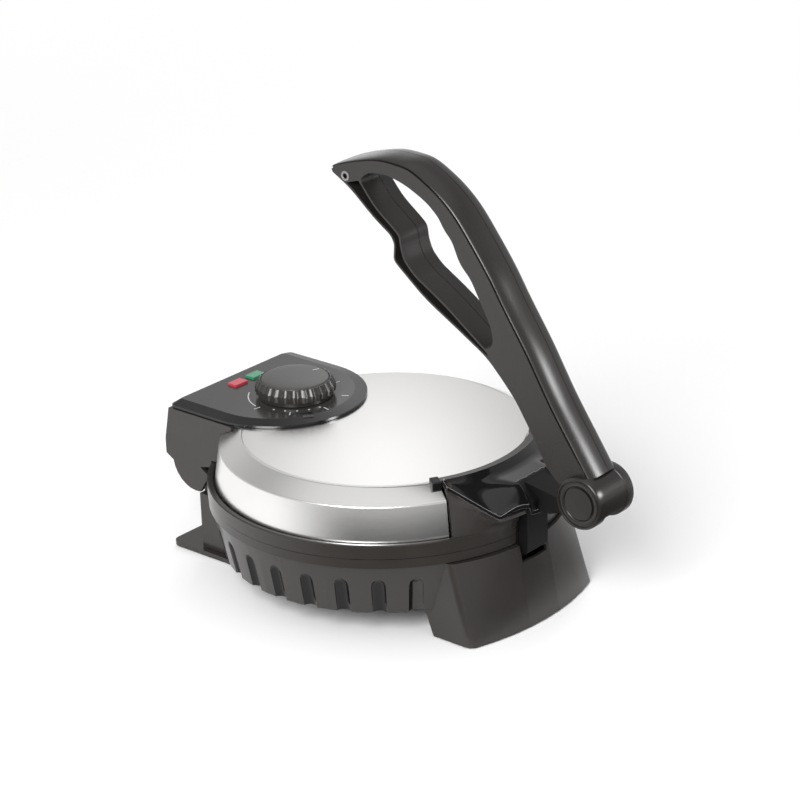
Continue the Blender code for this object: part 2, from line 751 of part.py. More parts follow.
def foot_pad_places():
    front_y = FOOT_GROUND_CORNER_Y + SHELF_DEPTH - PAD_RADIUS - OVERRUN
    front_x = FOOT_GROUND_HALF_WIDTH - CASE_WALL - PAD_RADIUS - OVERRUN / 2
    rear_x = STAND_HALF_WIDTH - STAND_RAIL_WIDTH / 2
    rear_y = STAND_REAR_Y - STAND_BAR_DEPTH / 2
    return [(-front_x, front_y), (front_x, front_y), (-rear_x, rear_y), (rear_x, rear_y)]


def stand_screw_places():
    y = (PILLAR_FRONT_Y + PILLAR_REAR_Y) / 2
    x = (PILLAR_INNER_X + PILLAR_OUTER_X) / 2
    return [(-x, y), (x, y)]


def cover_screw_places():
    places = []
    for angle in BOSS_ANGLES:
        for side in (-1, 1):
            x, y, _ = polar(BOSS_CIRCLE_RADIUS, side * angle, 0)
            places.append((x, y))
    return places


def pillar(side):
    """A hollow post behind the skirt, with a screw boss inside."""
    inner, outer = sorted((side * PILLAR_INNER_X, side * PILLAR_OUTER_X))
    foot = FOOT_LIFT + STAND_THICKNESS + GAP
    post = box((inner, PILLAR_FRONT_Y, foot), (outer, PILLAR_REAR_Y, PILLAR_TOP))
    roof = SKIRT_BOTTOM + CASE_WALL
    hollow = box(
        (inner + CASE_WALL, PILLAR_FRONT_Y + CASE_WALL, foot - OVERRUN),
        (outer - CASE_WALL, PILLAR_REAR_Y - CASE_WALL, roof - CASE_WALL),
    )
    x, y = stand_screw_places()[0 if side < 0 else 1]
    cut(hollow, rod((x, y, foot - 2 * OVERRUN), (x, y, roof + OVERRUN), BOSS_RADIUS, SCREW_STEPS))
    hole = rod((x, y, foot - OVERRUN), (x, y, foot + SCREW_LENGTH), SCREW_RADIUS + GAP, SCREW_STEPS)
    step = box((inner + GAP, PILLAR_FRONT_Y + GAP, PILLAR_TOP - OVERRUN), (outer - GAP, PILLAR_STEP_Y, PILLAR_STEP_TOP))
    return cut(join(post, step), hollow, hole, skirt_core())


def ear(side):
    """The hinge ear above a pillar: a web with a round head on the hinge axis."""
    inner, outer = sorted((side * EAR_INNER_X, side * EAR_OUTER_X))
    seat_angle = math.asin((EAR_SEAT_Z - HINGE_Z) / EAR_RADIUS)
    head = arc((HINGE_Y, HINGE_Z), EAR_RADIUS, -math.radians(40.0), math.pi - seat_angle, 14)
    outline = [(PILLAR_REAR_Y - OVERLAP, EAR_FOOT_Z)] + head
    outline += [(EAR_FRONT_Y, EAR_SEAT_Z), (EAR_FRONT_Y, EAR_FOOT_Z)]
    web = side_plate(outline, inner, outer)
    hole = rod(
        (inner - OVERRUN, HINGE_Y, HINGE_Z), (outer + OVERRUN, HINGE_Y, HINGE_Z),
        HINGE_PIN_RADIUS + GAP, SMALL_STEPS,
    )
    return cut(web, hole, skirt_core())


def case_shell():
    """Rim band, tapered skirt, foot flange, deck, plate well and ledge in one turned wall."""
    slope = math.tan(SKIRT_SLOPE)
    flange_top = SKIRT_BOTTOM + SKIRT_FLANGE_HEIGHT
    flange_inner = SKIRT_BOTTOM_RADIUS - SKIRT_FLANGE_WIDTH
    deck_bottom = RIM_TOP - CASE_WALL
    well_outer = WELL_RADIUS + CASE_WALL
    ledge_bottom = LEDGE_TOP - CASE_WALL
    profile = [
        (RIM_RADIUS, RIM_TOP),
        (RIM_RADIUS, SKIRT_TOP),
        (SKIRT_TOP_RADIUS, SKIRT_TOP),
        (SKIRT_BOTTOM_RADIUS, SKIRT_BOTTOM),
        (flange_inner, SKIRT_BOTTOM),
        (flange_inner, flange_top),
        (SKIRT_BOTTOM_RADIUS + SKIRT_FLANGE_HEIGHT * slope - CASE_WALL, flange_top),
        (SKIRT_TOP_RADIUS - CASE_WALL, SKIRT_TOP),
        (SKIRT_TOP_RADIUS - CASE_WALL, deck_bottom),
        (well_outer, deck_bottom),
        (well_outer, ledge_bottom),
        (WELL_RADIUS - PLATE_LEDGE_WIDTH, ledge_bottom),
        (WELL_RADIUS - PLATE_LEDGE_WIDTH, LEDGE_TOP),
        (WELL_RADIUS, LEDGE_TOP),
        (WELL_RADIUS, RIM_TOP),
    ]
    return turned(profile)


def cheek_sweep(side):
    """The room that a cheek of the control housing takes up as the lid opens."""
    low = HOUSING_HALF_WIDTH - HOUSING_CHEEK - SWEEP_CLEARANCE
    high = HOUSING_HALF_WIDTH + SWEEP_CLEARANCE
    radius = CHEEK_ARC_RADIUS + SWEEP_CLEARANCE
    return rod((side * low, HINGE_Y, HINGE_Z), (side * high, HINGE_Y, HINGE_Z), radius, SWEEP_STEPS)


def base_housing():
    case = case_shell()
    back_radius = FLUTE_RADIUS + FLUTE_WALL
    backs = merged([flute_tool(a, back_radius, -OVERLAP, (0.0, 45.0, 80.0)) for a in flute_angles()])
    join(case, common(backs, skirt_core()))
    join(case, front_foot())
    for side in (-1, 1):
        join(case, pillar(side), ear(side))
    boss_top = LEDGE_TOP - CASE_WALL / 2
    bosses = []
    holes = []
    for x, y in cover_screw_places():
        bosses.append(rod((x, y, COVER_TOP + GAP), (x, y, boss_top), BOSS_RADIUS, SCREW_STEPS))
        holes.append(rod((x, y, SKIRT_BOTTOM), (x, y, COVER_TOP + SCREW_LENGTH), SCREW_RADIUS + GAP, SCREW_STEPS))
    join(case, merged(bosses))
    cut(case, merged(holes))
    dome = (0.0, 35.0, 65.0, 85.0)
    cut(case, merged([flute_tool(a, FLUTE_RADIUS, OVERRUN, dome) for a in flute_angles()]))
    cut(case, box(
        (-NOTCH_HALF_WIDTH, FOOT_GROUND_APEX_Y - OVERRUN, NOTCH_BOTTOM),
        (NOTCH_HALF_WIDTH, NOTCH_BACK_Y, RIM_TOP + OVERRUN),
    ))
    gland_y = SKIRT_BOTTOM_RADIUS - SKIRT_FLANGE_WIDTH - OVERRUN
    cut(case, rod((0, gland_y, GLAND_Z), (0, RIM_RADIUS + OVERRUN, GLAND_Z), GLAND_RADIUS + GAP))
    cut(case, merged([cheek_sweep(side) for side in (-1, 1)]))
    part(case, "base_housing", BASE, "case")


def rear_stand():
    inner = STAND_HALF_WIDTH - STAND_RAIL_WIDTH
    bar_front = STAND_REAR_Y - STAND_BAR_DEPTH
    corner = STAND_CORNER_RADIUS
    right = arc((STAND_HALF_WIDTH - corner, STAND_REAR_Y - corner), corner, 0.0, math.pi / 2, 5)
    left = [(-x, y) for x, y in reversed(right)]
    outline = [(STAND_HALF_WIDTH, STAND_FRONT_Y)] + right + left
    outline += [(-STAND_HALF_WIDTH, STAND_FRONT_Y), (-inner, STAND_FRONT_Y)]
    outline += [(-inner, bar_front), (inner, bar_front), (inner, STAND_FRONT_Y)]
    plate = plan_plate(outline, FOOT_LIFT, FOOT_LIFT + STAND_THICKNESS)
    pockets = []
    for x, y in foot_pad_places()[2:]:
        pockets.append(rod((x, y, FOOT_LIFT - OVERRUN), (x, y, PAD_HEIGHT + GAP), PAD_RADIUS + GAP))
    for x, y in stand_screw_places():
        seat = FOOT_LIFT + SCREW_HEAD_HEIGHT
        pockets.append(rod((x, y, FOOT_LIFT - OVERRUN), (x, y, seat), SCREW_HEAD_RADIUS + GAP, SCREW_STEPS))
    cut(plate, merged(pockets))
    shanks = [
        rod((x, y, FOOT_LIFT), (x, y, FOOT_LIFT + STAND_THICKNESS + OVERRUN), SCREW_RADIUS + GAP, SCREW_STEPS)
        for x, y in stand_screw_places()
    ]
    cut(plate, merged(shanks))
    part(plate, "rear_stand", BASE, "case")


def foot_pads():
    for number, (x, y) in enumerate(foot_pad_places(), 1):
        part(rod((x, y, 0), (x, y, PAD_HEIGHT), PAD_RADIUS), f"foot_pad_{number}", BASE, "rubber")


def bottom_cover():
    radius = SKIRT_BOTTOM_RADIUS - SKIRT_FLANGE_WIDTH - GAP
    cover = disc(radius, SKIRT_BOTTOM, COVER_TOP)
    holes = []
    for x, y in cover_screw_places():
        holes.append(rod((x, y, SKIRT_BOTTOM - OVERRUN), (x, y, COVER_TOP + OVERRUN), SCREW_RADIUS + GAP, SCREW_STEPS))
    middle = (VENT_COUNT - 1) / 2
    for i in range(VENT_COUNT):
        y = (i - middle) * VENT_PITCH
        holes.append(box(
            (-VENT_LENGTH / 2, y - VENT_WIDTH / 2, SKIRT_BOTTOM - OVERRUN),
            (VENT_LENGTH / 2, y + VENT_WIDTH / 2, COVER_TOP + OVERRUN),
        ))
    cut(cover, merged(holes))
    part(cover, "bottom_cover", BASE, "case")


def screw(place, down, length, name, carrier, along=(0, 0, 1)):
    """A screw with a low head under `place`; its shank runs along `along` from the seat."""
    seat = Vector((*place, down))
    along = Vector(along)
    head = rod(seat - along * SCREW_HEAD_HEIGHT, seat, SCREW_HEAD_RADIUS, SCREW_STEPS)
    shank = rod(seat - along * SCREW_HEAD_HEIGHT / 2, seat + along * length, SCREW_RADIUS, SCREW_STEPS)
    part(join(head, shank), name, carrier, "screw")


def base_screws():
    for number, place in enumerate(cover_screw_places(), 1):
        screw(place, SKIRT_BOTTOM - GAP, SCREW_LENGTH, f"cover_screw_{number}", BASE)
    seat = FOOT_LIFT + SCREW_HEAD_HEIGHT - GAP
    for number, place in enumerate(stand_screw_places(), 1):
        screw(place, seat, SCREW_LENGTH, f"stand_screw_{number}", BASE)


def element_ring(height, name, carrier):
    start = (2 * math.pi - ELEMENT_SWEEP) / 2
    angles = [start + ELEMENT_SWEEP * i / (ELEMENT_POINTS - 1) for i in range(ELEMENT_POINTS)]
    points = [(-x, -y, z) for x, y, z in (polar(ELEMENT_RADIUS, a, height) for a in angles)]
    part(tube(points, ELEMENT_TUBE_RADIUS), name, carrier, "element")


def pan(lip_z, upward, name, carrier):
    """A pressed reflector: a shallow dish with a flat lip against the hot plate."""
    floor_z = lip_z + upward * PAN_DEPTH
    wall_radius = PAN_RADIUS - PAN_LIP_WIDTH
    hole = STUD_RADIUS + GAP
    face = [(PAN_RADIUS, lip_z), (wall_radius, lip_z), (wall_radius - PAN_LIP_WIDTH, floor_z), (hole, floor_z)]
    shift = upward * PAN_SHEET
    back = [
        (hole, floor_z + shift), (wall_radius - PAN_LIP_WIDTH + PAN_SHEET, floor_z + shift),
        (wall_radius + PAN_SHEET, lip_z + shift), (PAN_RADIUS, lip_z + shift),
    ]
    profile = face + back
    part(turned(profile if upward > 0 else profile[::-1], PAN_STEPS), name, carrier, "sheet")
    return floor_z + shift


def nut(seat, upward, name, carrier):
    low, high = sorted((seat + upward * GAP, seat + upward * (GAP + NUT_THICKNESS)))
    ring = rod((0, 0, low), (0, 0, high), NUT_RADIUS, 6)
    cut(ring, rod((0, 0, low - OVERRUN), (0, 0, high + OVERRUN), STUD_RADIUS + GAP, SCREW_STEPS))
    part(ring, name, carrier, "screw")


def lower_heating():
    chamfer = PLATE_EDGE_CHAMFER
    stud_bottom = LOWER_PLATE_BOTTOM - STUD_LENGTH
    plate = turned([
        (0, LOWER_PLATE_TOP), (PLATE_RADIUS - chamfer, LOWER_PLATE_TOP),
        (PLATE_RADIUS, LOWER_PLATE_TOP - chamfer), (PLATE_RADIUS, LOWER_PLATE_BOTTOM),
        (STUD_RADIUS, LOWER_PLATE_BOTTOM), (STUD_RADIUS, stud_bottom), (0, stud_bottom),
    ], PLATE_STEPS, 0.0, False)
    part(plate, "lower_plate", BASE, "plate")
    element_ring(LOWER_PLATE_BOTTOM - GAP - ELEMENT_TUBE_RADIUS, "lower_element", BASE)
    back = pan(LOWER_PLATE_BOTTOM - GAP, -1, "lower_reflector", BASE)
    nut(back, -1, "lower_plate_nut", BASE)


def upper_heating():
    chamfer = PLATE_EDGE_CHAMFER
    dish_inner = PLATE_RADIUS - UPPER_DISH_WALL
    flange_radius = PLATE_RADIUS + UPPER_FLANGE_WIDTH
    stud_top = UPPER_DISH_FLOOR + STUD_LENGTH
    plate = turned([
        (0, stud_top), (STUD_RADIUS, stud_top), (STUD_RADIUS, UPPER_DISH_FLOOR),
        (dish_inner, UPPER_DISH_FLOOR), (dish_inner, UPPER_FLANGE_TOP),
        (flange_radius, UPPER_FLANGE_TOP), (flange_radius, UPPER_FLANGE_BOTTOM),
        (PLATE_RADIUS, UPPER_FLANGE_BOTTOM), (PLATE_RADIUS, UPPER_PLATE_BOTTOM + chamfer),
        (PLATE_RADIUS - chamfer, UPPER_PLATE_BOTTOM), (0, UPPER_PLATE_BOTTOM),
    ], PLATE_STEPS, 0.0, False)
    holes = [
        rod((x, y, UPPER_FLANGE_BOTTOM - OVERRUN), (x, y, UPPER_FLANGE_TOP + OVERRUN), SCREW_RADIUS + GAP, SCREW_STEPS)
        for x, y in plate_screw_places()
    ]
    cut(plate, merged(holes))
    part(plate, "upper_plate", LID, "plate")
    element_ring(UPPER_DISH_FLOOR + GAP + ELEMENT_TUBE_RADIUS, "upper_element", LID)
    back = pan(UPPER_DISH_FLOOR + GAP, 1, "upper_reflector", LID)
    nut(back, 1, "upper_plate_nut", LID)
    wool_bottom = back + GAP
    wool_top = wool_bottom + PAD_THICKNESS_WOOL
    wool = annulus(PAD_RADIUS_WOOL, NUT_RADIUS + OVERLAP, wool_bottom, wool_top, PAN_STEPS)
    part(wool, "insulation_pad", LID, "wool")
    fuse_z = wool_bottom + PAD_THICKNESS_WOOL + GAP + FUSE_RADIUS
    fuse = rod(
        (-FUSE_LENGTH / 2, -PAD_RADIUS_WOOL / 2, fuse_z), (FUSE_LENGTH / 2, -PAD_RADIUS_WOOL / 2, fuse_z),
        FUSE_RADIUS, SCREW_STEPS,
    )
    part(fuse, "thermal_fuse", LID, "ceramic")


def plate_screw_places():
    radius = PLATE_RADIUS + UPPER_FLANGE_WIDTH / 2
    angles = [math.radians(45.0 + 90.0 * i) for i in range(4)]
    return [polar(radius, a, 0)[:2] for a in angles]


def wiring_pieces():
    block_low = COVER_TOP + GAP
    block = box(
        (-BLOCK_LENGTH / 2, BLOCK_Y - BLOCK_DEPTH / 2, block_low),
        (BLOCK_LENGTH / 2, BLOCK_Y + BLOCK_DEPTH / 2, block_low + BLOCK_HEIGHT),
    )
    ways = 3
    slot = BLOCK_LENGTH / (3 * ways)
    slots = []
    for i in range(ways):
        x = (i - (ways - 1) / 2) * BLOCK_LENGTH / ways
        slots.append(box(
            (x - slot / 2, BLOCK_Y - BLOCK_DEPTH, block_low + BLOCK_HEIGHT / 2),
            (x + slot / 2, BLOCK_Y + BLOCK_DEPTH, block_low + BLOCK_HEIGHT + OVERRUN),
        ))
    cut(block, merged(slots))
    part(block, "terminal_block", BASE, "ceramic")
    share = (GLAND_Z - SKIRT_BOTTOM) / (SKIRT_TOP - SKIRT_BOTTOM)
    skin = ramp(SKIRT_BOTTOM_RADIUS, SKIRT_TOP_RADIUS, share) + GLAND_RADIUS * math.tan(SKIRT_SLOPE) + GAP
    tail = skin - CASE_WALL - GLAND_TAIL
    gland = rod((0, tail, GLAND_Z), (0, skin + OVERLAP, GLAND_Z), GLAND_RADIUS)
    join(gland, rod((0, skin + GAP, GLAND_Z), (0, skin + GAP + GLAND_COLLAR_WIDTH, GLAND_Z), GLAND_COLLAR_RADIUS))
    bore_end = skin + GAP + GLAND_COLLAR_WIDTH + OVERRUN
    cut(gland, rod((0, tail - OVERRUN, GLAND_Z), (0, bore_end, GLAND_Z), GLAND_BORE_RADIUS))
    part(gland, "cord_gland", BASE, "rubber")


def hinge_pins():
    start = EAR_INNER_X - OVERLAP
    end = HOUSING_HALF_WIDTH - HOUSING_CHEEK / 2 - GAP
    for side, name in ((-1, "hinge_pin_left"), (1, "hinge_pin_right")):
        pin = rod((side * start, HINGE_Y, HINGE_Z), (side * end, HINGE_Y, HINGE_Z), HINGE_PIN_RADIUS)
        part(pin, name, BASE, "screw")


def bracket_slice(angle):
    """Section of the front bracket at one angle: ramp, lip, knee, wall and the inside of the wall."""
    turn = abs(angle)
    share = max(0.0, (turn - LIP_ANGLE) / (BRACKET_ANGLE - LIP_ANGLE))
    lip_x = LIP_RADIUS * math.sin(LIP_ANGLE)
    lip_y = -LIP_RADIUS * math.cos(LIP_ANGLE)
    if share > 0:
        run_x = BRACKET_SIDE_X - lip_x
        run_y = BRACKET_SIDE_Y - lip_y
        slope = math.tan(turn)
        reach = (-lip_y * slope - lip_x) / (run_x + run_y * slope)
        lip_radius = math.hypot(lip_x + run_x * reach, lip_y + run_y * reach)
        lip_z = LIP_TOP_Z + (BRACKET_SIDE_Z - LIP_TOP_Z) * reach
    else:
        lip_radius, lip_z = LIP_RADIUS, LIP_TOP_Z
    knee_radius = ramp(KNEE_RADIUS, KNEE_SIDE_RADIUS, share)
    knee_z = ramp(KNEE_Z, KNEE_SIDE_Z, share)
    foot_radius = ramp(BRACKET_FOOT_RADIUS, BRACKET_FOOT_SIDE_RADIUS, share)
    lip_low = max(lip_z - LIP_THICKNESS, knee_z + OVERLAP / 2)
    slope = (lip_z - BRACKET_TOP_Z) / (lip_radius - BRACKET_TOP_RADIUS)
    inner_radius = min(KNEE_RADIUS, lip_radius) - BRACKET_WALL
    inner_z = BRACKET_TOP_Z + slope * (inner_radius - BRACKET_TOP_RADIUS) - BRACKET_WALL
    outline = [
        (BRACKET_TOP_RADIUS, BRACKET_TOP_Z - BRACKET_WALL),
        (BRACKET_TOP_RADIUS, BRACKET_TOP_Z),
        (lip_radius, lip_z),
        (max(lip_radius - LIP_THICKNESS / 4, lip_radius - LIP_THICKNESS * (1 - share)), lip_low),
        (knee_radius, knee_z),
        (foot_radius, BRACKET_FOOT_Z),
        (BRACKET_ROOT_RADIUS, BRACKET_ROOT_Z),
        (BRACKET_ROOT_RADIUS - BRACKET_WALL, BRACKET_ROOT_Z),
        (foot_radius - BRACKET_WALL, BRACKET_FOOT_Z),
        (knee_radius - BRACKET_WALL, knee_z - OVERLAP),
        (inner_radius, max(inner_z, knee_z)),
    ]
    return [polar(radius, angle, height) for radius, height in outline]


def swept(profile, half_angle, count):
    """A profile of (radius, height) swept round the front of the lid."""
    angles = [half_angle * (2 * i / (count - 1) - 1) for i in range(count)]
    return loft([[polar(radius, a, height) for radius, height in profile] for a in angles])


def tongue():
    """The arm that reaches forward from the bracket to the handle's pivot."""
    block = side_plate([
        (TONGUE_REAR_Y, TONGUE_TOP_Z), (TONGUE_KNEE_Y, TONGUE_TOP_Z), (TONGUE_FRONT_Y, TONGUE_FRONT_Z),
        (TONGUE_FRONT_Y + OVERRUN, TONGUE_BOTTOM_Z), (-KNEE_RADIUS + OVERLAP, TONGUE_ROOT_Z),
        (-KNEE_RADIUS + BRACKET_WALL, KNEE_Z + BRACKET_WALL), (TONGUE_REAR_Y, TONGUE_TOP_Z - BRACKET_WALL),
    ], -TONGUE_HALF_WIDTH, TONGUE_HALF_WIDTH)
    web = side_plate([
        (TONGUE_KNEE_Y + OVERRUN, TONGUE_TOP_Z - OVERLAP), (TONGUE_KNEE_Y - OVERLAP, TONGUE_TOP_Z - OVERLAP),
        (WEB_TOP_Y, WEB_TOP_Z), (PIVOT_Y + OVERLAP, PIVOT_Z), (PIVOT_Y + OVERLAP, PIVOT_Z - KNUCKLE_RADIUS / 2),
        (WEB_LOW_Y, WEB_LOW_Z), (TONGUE_FRONT_Y + 2 * OVERRUN, TONGUE_BOTTOM_Z + OVERLAP),
        (TONGUE_KNEE_Y + OVERRUN, TONGUE_BOTTOM_Z + OVERLAP),
    ], GAP - WEB_HALF_WIDTH, WEB_HALF_WIDTH - GAP)
    knuckle = rod(
        (-WEB_HALF_WIDTH, PIVOT_Y, PIVOT_Z), (WEB_HALF_WIDTH, PIVOT_Y, PIVOT_Z), KNUCKLE_RADIUS, PLATE_STEPS // 2,
    )
    return block, web, knuckle


def lid_ring():
    crest = RING_RADIUS - RING_CREST_INSET
    groove = crest - RING_CREST_WIDTH
    bore = PLATE_RADIUS + 2 * GAP
    ring = turned([
        (crest, RING_TOP), (RING_RADIUS, RING_TOP - RING_CREST_DROP), (RING_RADIUS, RING_BOTTOM),
        (RING_RADIUS - RING_WALL, RING_BOTTOM), (RING_RADIUS - RING_WALL, RING_FLOOR_BOTTOM),
        (bore, RING_FLOOR_BOTTOM), (bore, RING_FLOOR_TOP), (groove, RING_FLOOR_TOP),
        (groove, RING_TOP - RING_CREST_DROP),
    ])
    cut(ring, box(
        (-NOTCH_HALF_WIDTH, -RING_RADIUS - OVERRUN, RING_BOTTOM - OVERRUN), (NOTCH_HALF_WIDTH, NOTCH_BACK_Y, NOTCH_TOP),
    ))
    count = BRACKET_SLICES
    angles = [BRACKET_ANGLE * (2 * i / (count - 1) - 1) for i in range(count)]
    bracket = loft([bracket_slice(a) for a in angles])
    cut(bracket, box(
        (-NOTCH_HALF_WIDTH, -LIP_RADIUS - OVERRUN, RING_BOTTOM - OVERRUN), (NOTCH_HALF_WIDTH, NOTCH_BACK_Y, NOTCH_TOP),
    ))
    join(ring, bracket)
    collar_bottom = STEEL_TOP + GAP
    join(ring, swept([
        (COLLAR_INNER_RADIUS, collar_bottom), (COLLAR_INNER_RADIUS, collar_bottom + COLLAR_HEIGHT),
        (COLLAR_OUTER_RADIUS, collar_bottom + COLLAR_HEIGHT), (COLLAR_OUTER_RADIUS, collar_bottom),
    ], COLLAR_ANGLE, BRACKET_SLICES))
    join(ring, *tongue())
    join(ring, side_plate([
        (LUG_BACK_Y, TONGUE_BOTTOM_Z + OVERRUN), (LUG_FRONT_Y, TONGUE_BOTTOM_Z + OVERRUN),
        (LUG_FRONT_Y, LUG_BOTTOM_Z + OVERRUN), (LUG_FRONT_Y + OVERRUN, LUG_BOTTOM_Z), (LUG_BACK_Y, LUG_BOTTOM_Z),
    ], -LUG_HALF_WIDTH, LUG_HALF_WIDTH))
    side = WEB_HALF_WIDTH + OVERRUN
    cut(ring, rod((-side, PIVOT_Y, PIVOT_Z), (side, PIVOT_Y, PIVOT_Z), PIVOT_PIN_RADIUS + GAP))
    holes = [
        rod((x, y, RING_FLOOR_BOTTOM - OVERRUN), (x, y, RING_FLOOR_TOP + OVERRUN), SCREW_RADIUS + GAP, SCREW_STEPS)
        for x, y in plate_screw_places()
    ]
    cut(ring, merged(holes))
    part(ring, "lid_ring", LID, "case")
    for number, place in enumerate(plate_screw_places(), 1):
        length = UPPER_FLANGE_TOP + GAP - RING_FLOOR_BOTTOM
        screw(place, UPPER_FLANGE_TOP + GAP, length, f"plate_screw_{number}", LID, (0, 0, -1))


def steel_profile(inset):
    """Outer side of the steel cover, from the middle of the top down to the hem."""
    hem = RING_FLOOR_TOP + GAP
    return [
        (STEEL_TOP_RADIUS - inset / 2, STEEL_TOP - inset),
        (STEEL_SHOULDER_RADIUS - inset, STEEL_SHOULDER - inset / 2),
        (STEEL_HEM_RADIUS - inset, hem),
    ]


def lid_cover():
    outer = steel_profile(0)
    inner = steel_profile(STEEL_SHEET)
    profile = [(0, STEEL_TOP)] + outer + inner[::-1] + [(0, STEEL_TOP - STEEL_SHEET)]
    cover = turned(profile, RING_STEPS, 0.0, False)
    reach = 2 * STEEL_HEM_RADIUS
    wedge = [polar(STEEL_CUT_RADIUS, STEEL_CUT_ANGLE * (i / 4 - 1), 0)[:2] for i in range(9)]
    far = [polar(reach, STEEL_CUT_ANGLE, 0)[:2], polar(reach, -STEEL_CUT_ANGLE, 0)[:2]]
    cut(cover, plan_plate(wedge + far, RING_BOTTOM - OVERRUN, STEEL_TOP + OVERRUN))
    cut(cover, box(
        (-WELL_HALF_WIDTH, WELL_FRONT_Y, STEEL_SHOULDER - OVERRUN), (WELL_HALF_WIDTH, WELL_REAR_Y, STEEL_TOP + OVERRUN),
    ))
    part(cover, "lid_cover", LID, "steel")


def housing_outline():
    """Side view of the control housing, with the round cheek that turns on the hinge."""
    start = math.atan2(CHEEK_STEP_Z - HINGE_Z, CHEEK_STEP_Y - HINGE_Y)
    cheek = arc((HINGE_Y, HINGE_Z), CHEEK_ARC_RADIUS, start, -math.radians(100.0), 8)
    return [
        (HOUSING_FRONT_Y, HOUSING_TOP), (HOUSING_TOP_REAR_Y, HOUSING_TOP), (HOUSING_REAR_Y, HOUSING_BEND_Z),
        (HOUSING_REAR_Y, HOUSING_REAR_LOW_Z), *cheek, (CHEEK_FRONT_Y, CHEEK_FRONT_Z),
        (CHEEK_NOTCH_Y, CHEEK_NOTCH_Z), (CHEEK_BROW_Y, CHEEK_BROW_Z), (HOUSING_FRONT_Y, STEEL_SHOULDER),
    ]


def control_housing():
    inner_x = HOUSING_HALF_WIDTH - HOUSING_CHEEK
    shell = side_plate(housing_outline(), -HOUSING_HALF_WIDTH, HOUSING_HALF_WIDTH)
    wall = HOUSING_WALL
    floor_top = HOUSING_FLOOR_Z + HOUSING_FLOOR_THICKNESS
    upper = side_plate([
        (HOUSING_FRONT_Y - OVERRUN, HOUSING_TOP + OVERRUN), (HOUSING_TOP_REAR_Y - wall, HOUSING_TOP + OVERRUN),
        (HOUSING_REAR_Y - wall, floor_top), (HOUSING_FRONT_Y - OVERRUN, floor_top),
    ], -inner_x, inner_x)
    lower = side_plate([
        (HOUSING_FRONT_Y - OVERRUN, HOUSING_FLOOR_Z), (HOUSING_REAR_Y - wall, HOUSING_FLOOR_Z),
        (HOUSING_REAR_Y - wall, CHEEK_STEP_Z - CHEEK_ARC_RADIUS - OVERRUN),
        (HOUSING_FRONT_Y - OVERRUN, CHEEK_STEP_Z - CHEEK_ARC_RADIUS - OVERRUN),
    ], -inner_x, inner_x)
    cut(shell, upper, lower)
    boss_start = EAR_OUTER_X + 2 * GAP
    for side in (-1, 1):
        join(shell, rod(
            (side * boss_start, HINGE_Y, HINGE_Z), (side * (inner_x + OVERLAP), HINGE_Y, HINGE_Z), CHEEK_BOSS_RADIUS,
        ))
    steel = [(radius + STEEL_CLEARANCE, height) for radius, height in steel_profile(0)[1:]]
    lip = steel_profile(0)[0]
    ring_top = RING_TOP + STEEL_CLEARANCE
    ring_radius = RING_RADIUS + STEEL_CLEARANCE
    clear = turned([
        (0, STEEL_TOP + STEEL_CLEARANCE), (lip[0], STEEL_TOP + STEEL_CLEARANCE), steel[0],
        (ramp(STEEL_SHOULDER_RADIUS, STEEL_HEM_RADIUS, 1 - OVERRUN / (STEEL_SHOULDER - RING_FLOOR_TOP))
         + STEEL_CLEARANCE, ring_top),
        (ring_radius, ring_top), (ring_radius, RING_BOTTOM - RING_HEIGHT), (0, RING_BOTTOM - RING_HEIGHT),
    ], RING_STEPS, 0.0, False)
    cut(shell, clear)
    holes = []
    for side in (-1, 1):
        end = side * (HOUSING_HALF_WIDTH - HOUSING_CHEEK / 2)
        holes.append(rod(
            (side * (boss_start - OVERRUN), HINGE_Y, HINGE_Z), (end, HINGE_Y, HINGE_Z), HINGE_PIN_RADIUS + GAP,
        ))
    cut(shell, merged(holes))
    part(shell, "control_housing", LID, "case")


def panel_outline(inset):
    half = PANEL_HALF_WIDTH - inset
    angles = [math.pi + math.pi * i / (PANEL_ARC_POINTS - 1) for i in range(PANEL_ARC_POINTS)]
    round_end = [(half * math.cos(a), PANEL_ARC_Y + half * math.sin(a)) for a in angles]
    bend = PANEL_CORNER_RADIUS - inset / 4
    right = arc((half - bend, PANEL_REAR_Y - inset / 4 - bend), bend, 0.0, math.pi / 2, 4)
    left = [(-x, y) for x, y in reversed(right)]
    return right + left + round_end


def panel_section(inset, height):
    return [(x, y, height) for x, y in panel_outline(inset)]


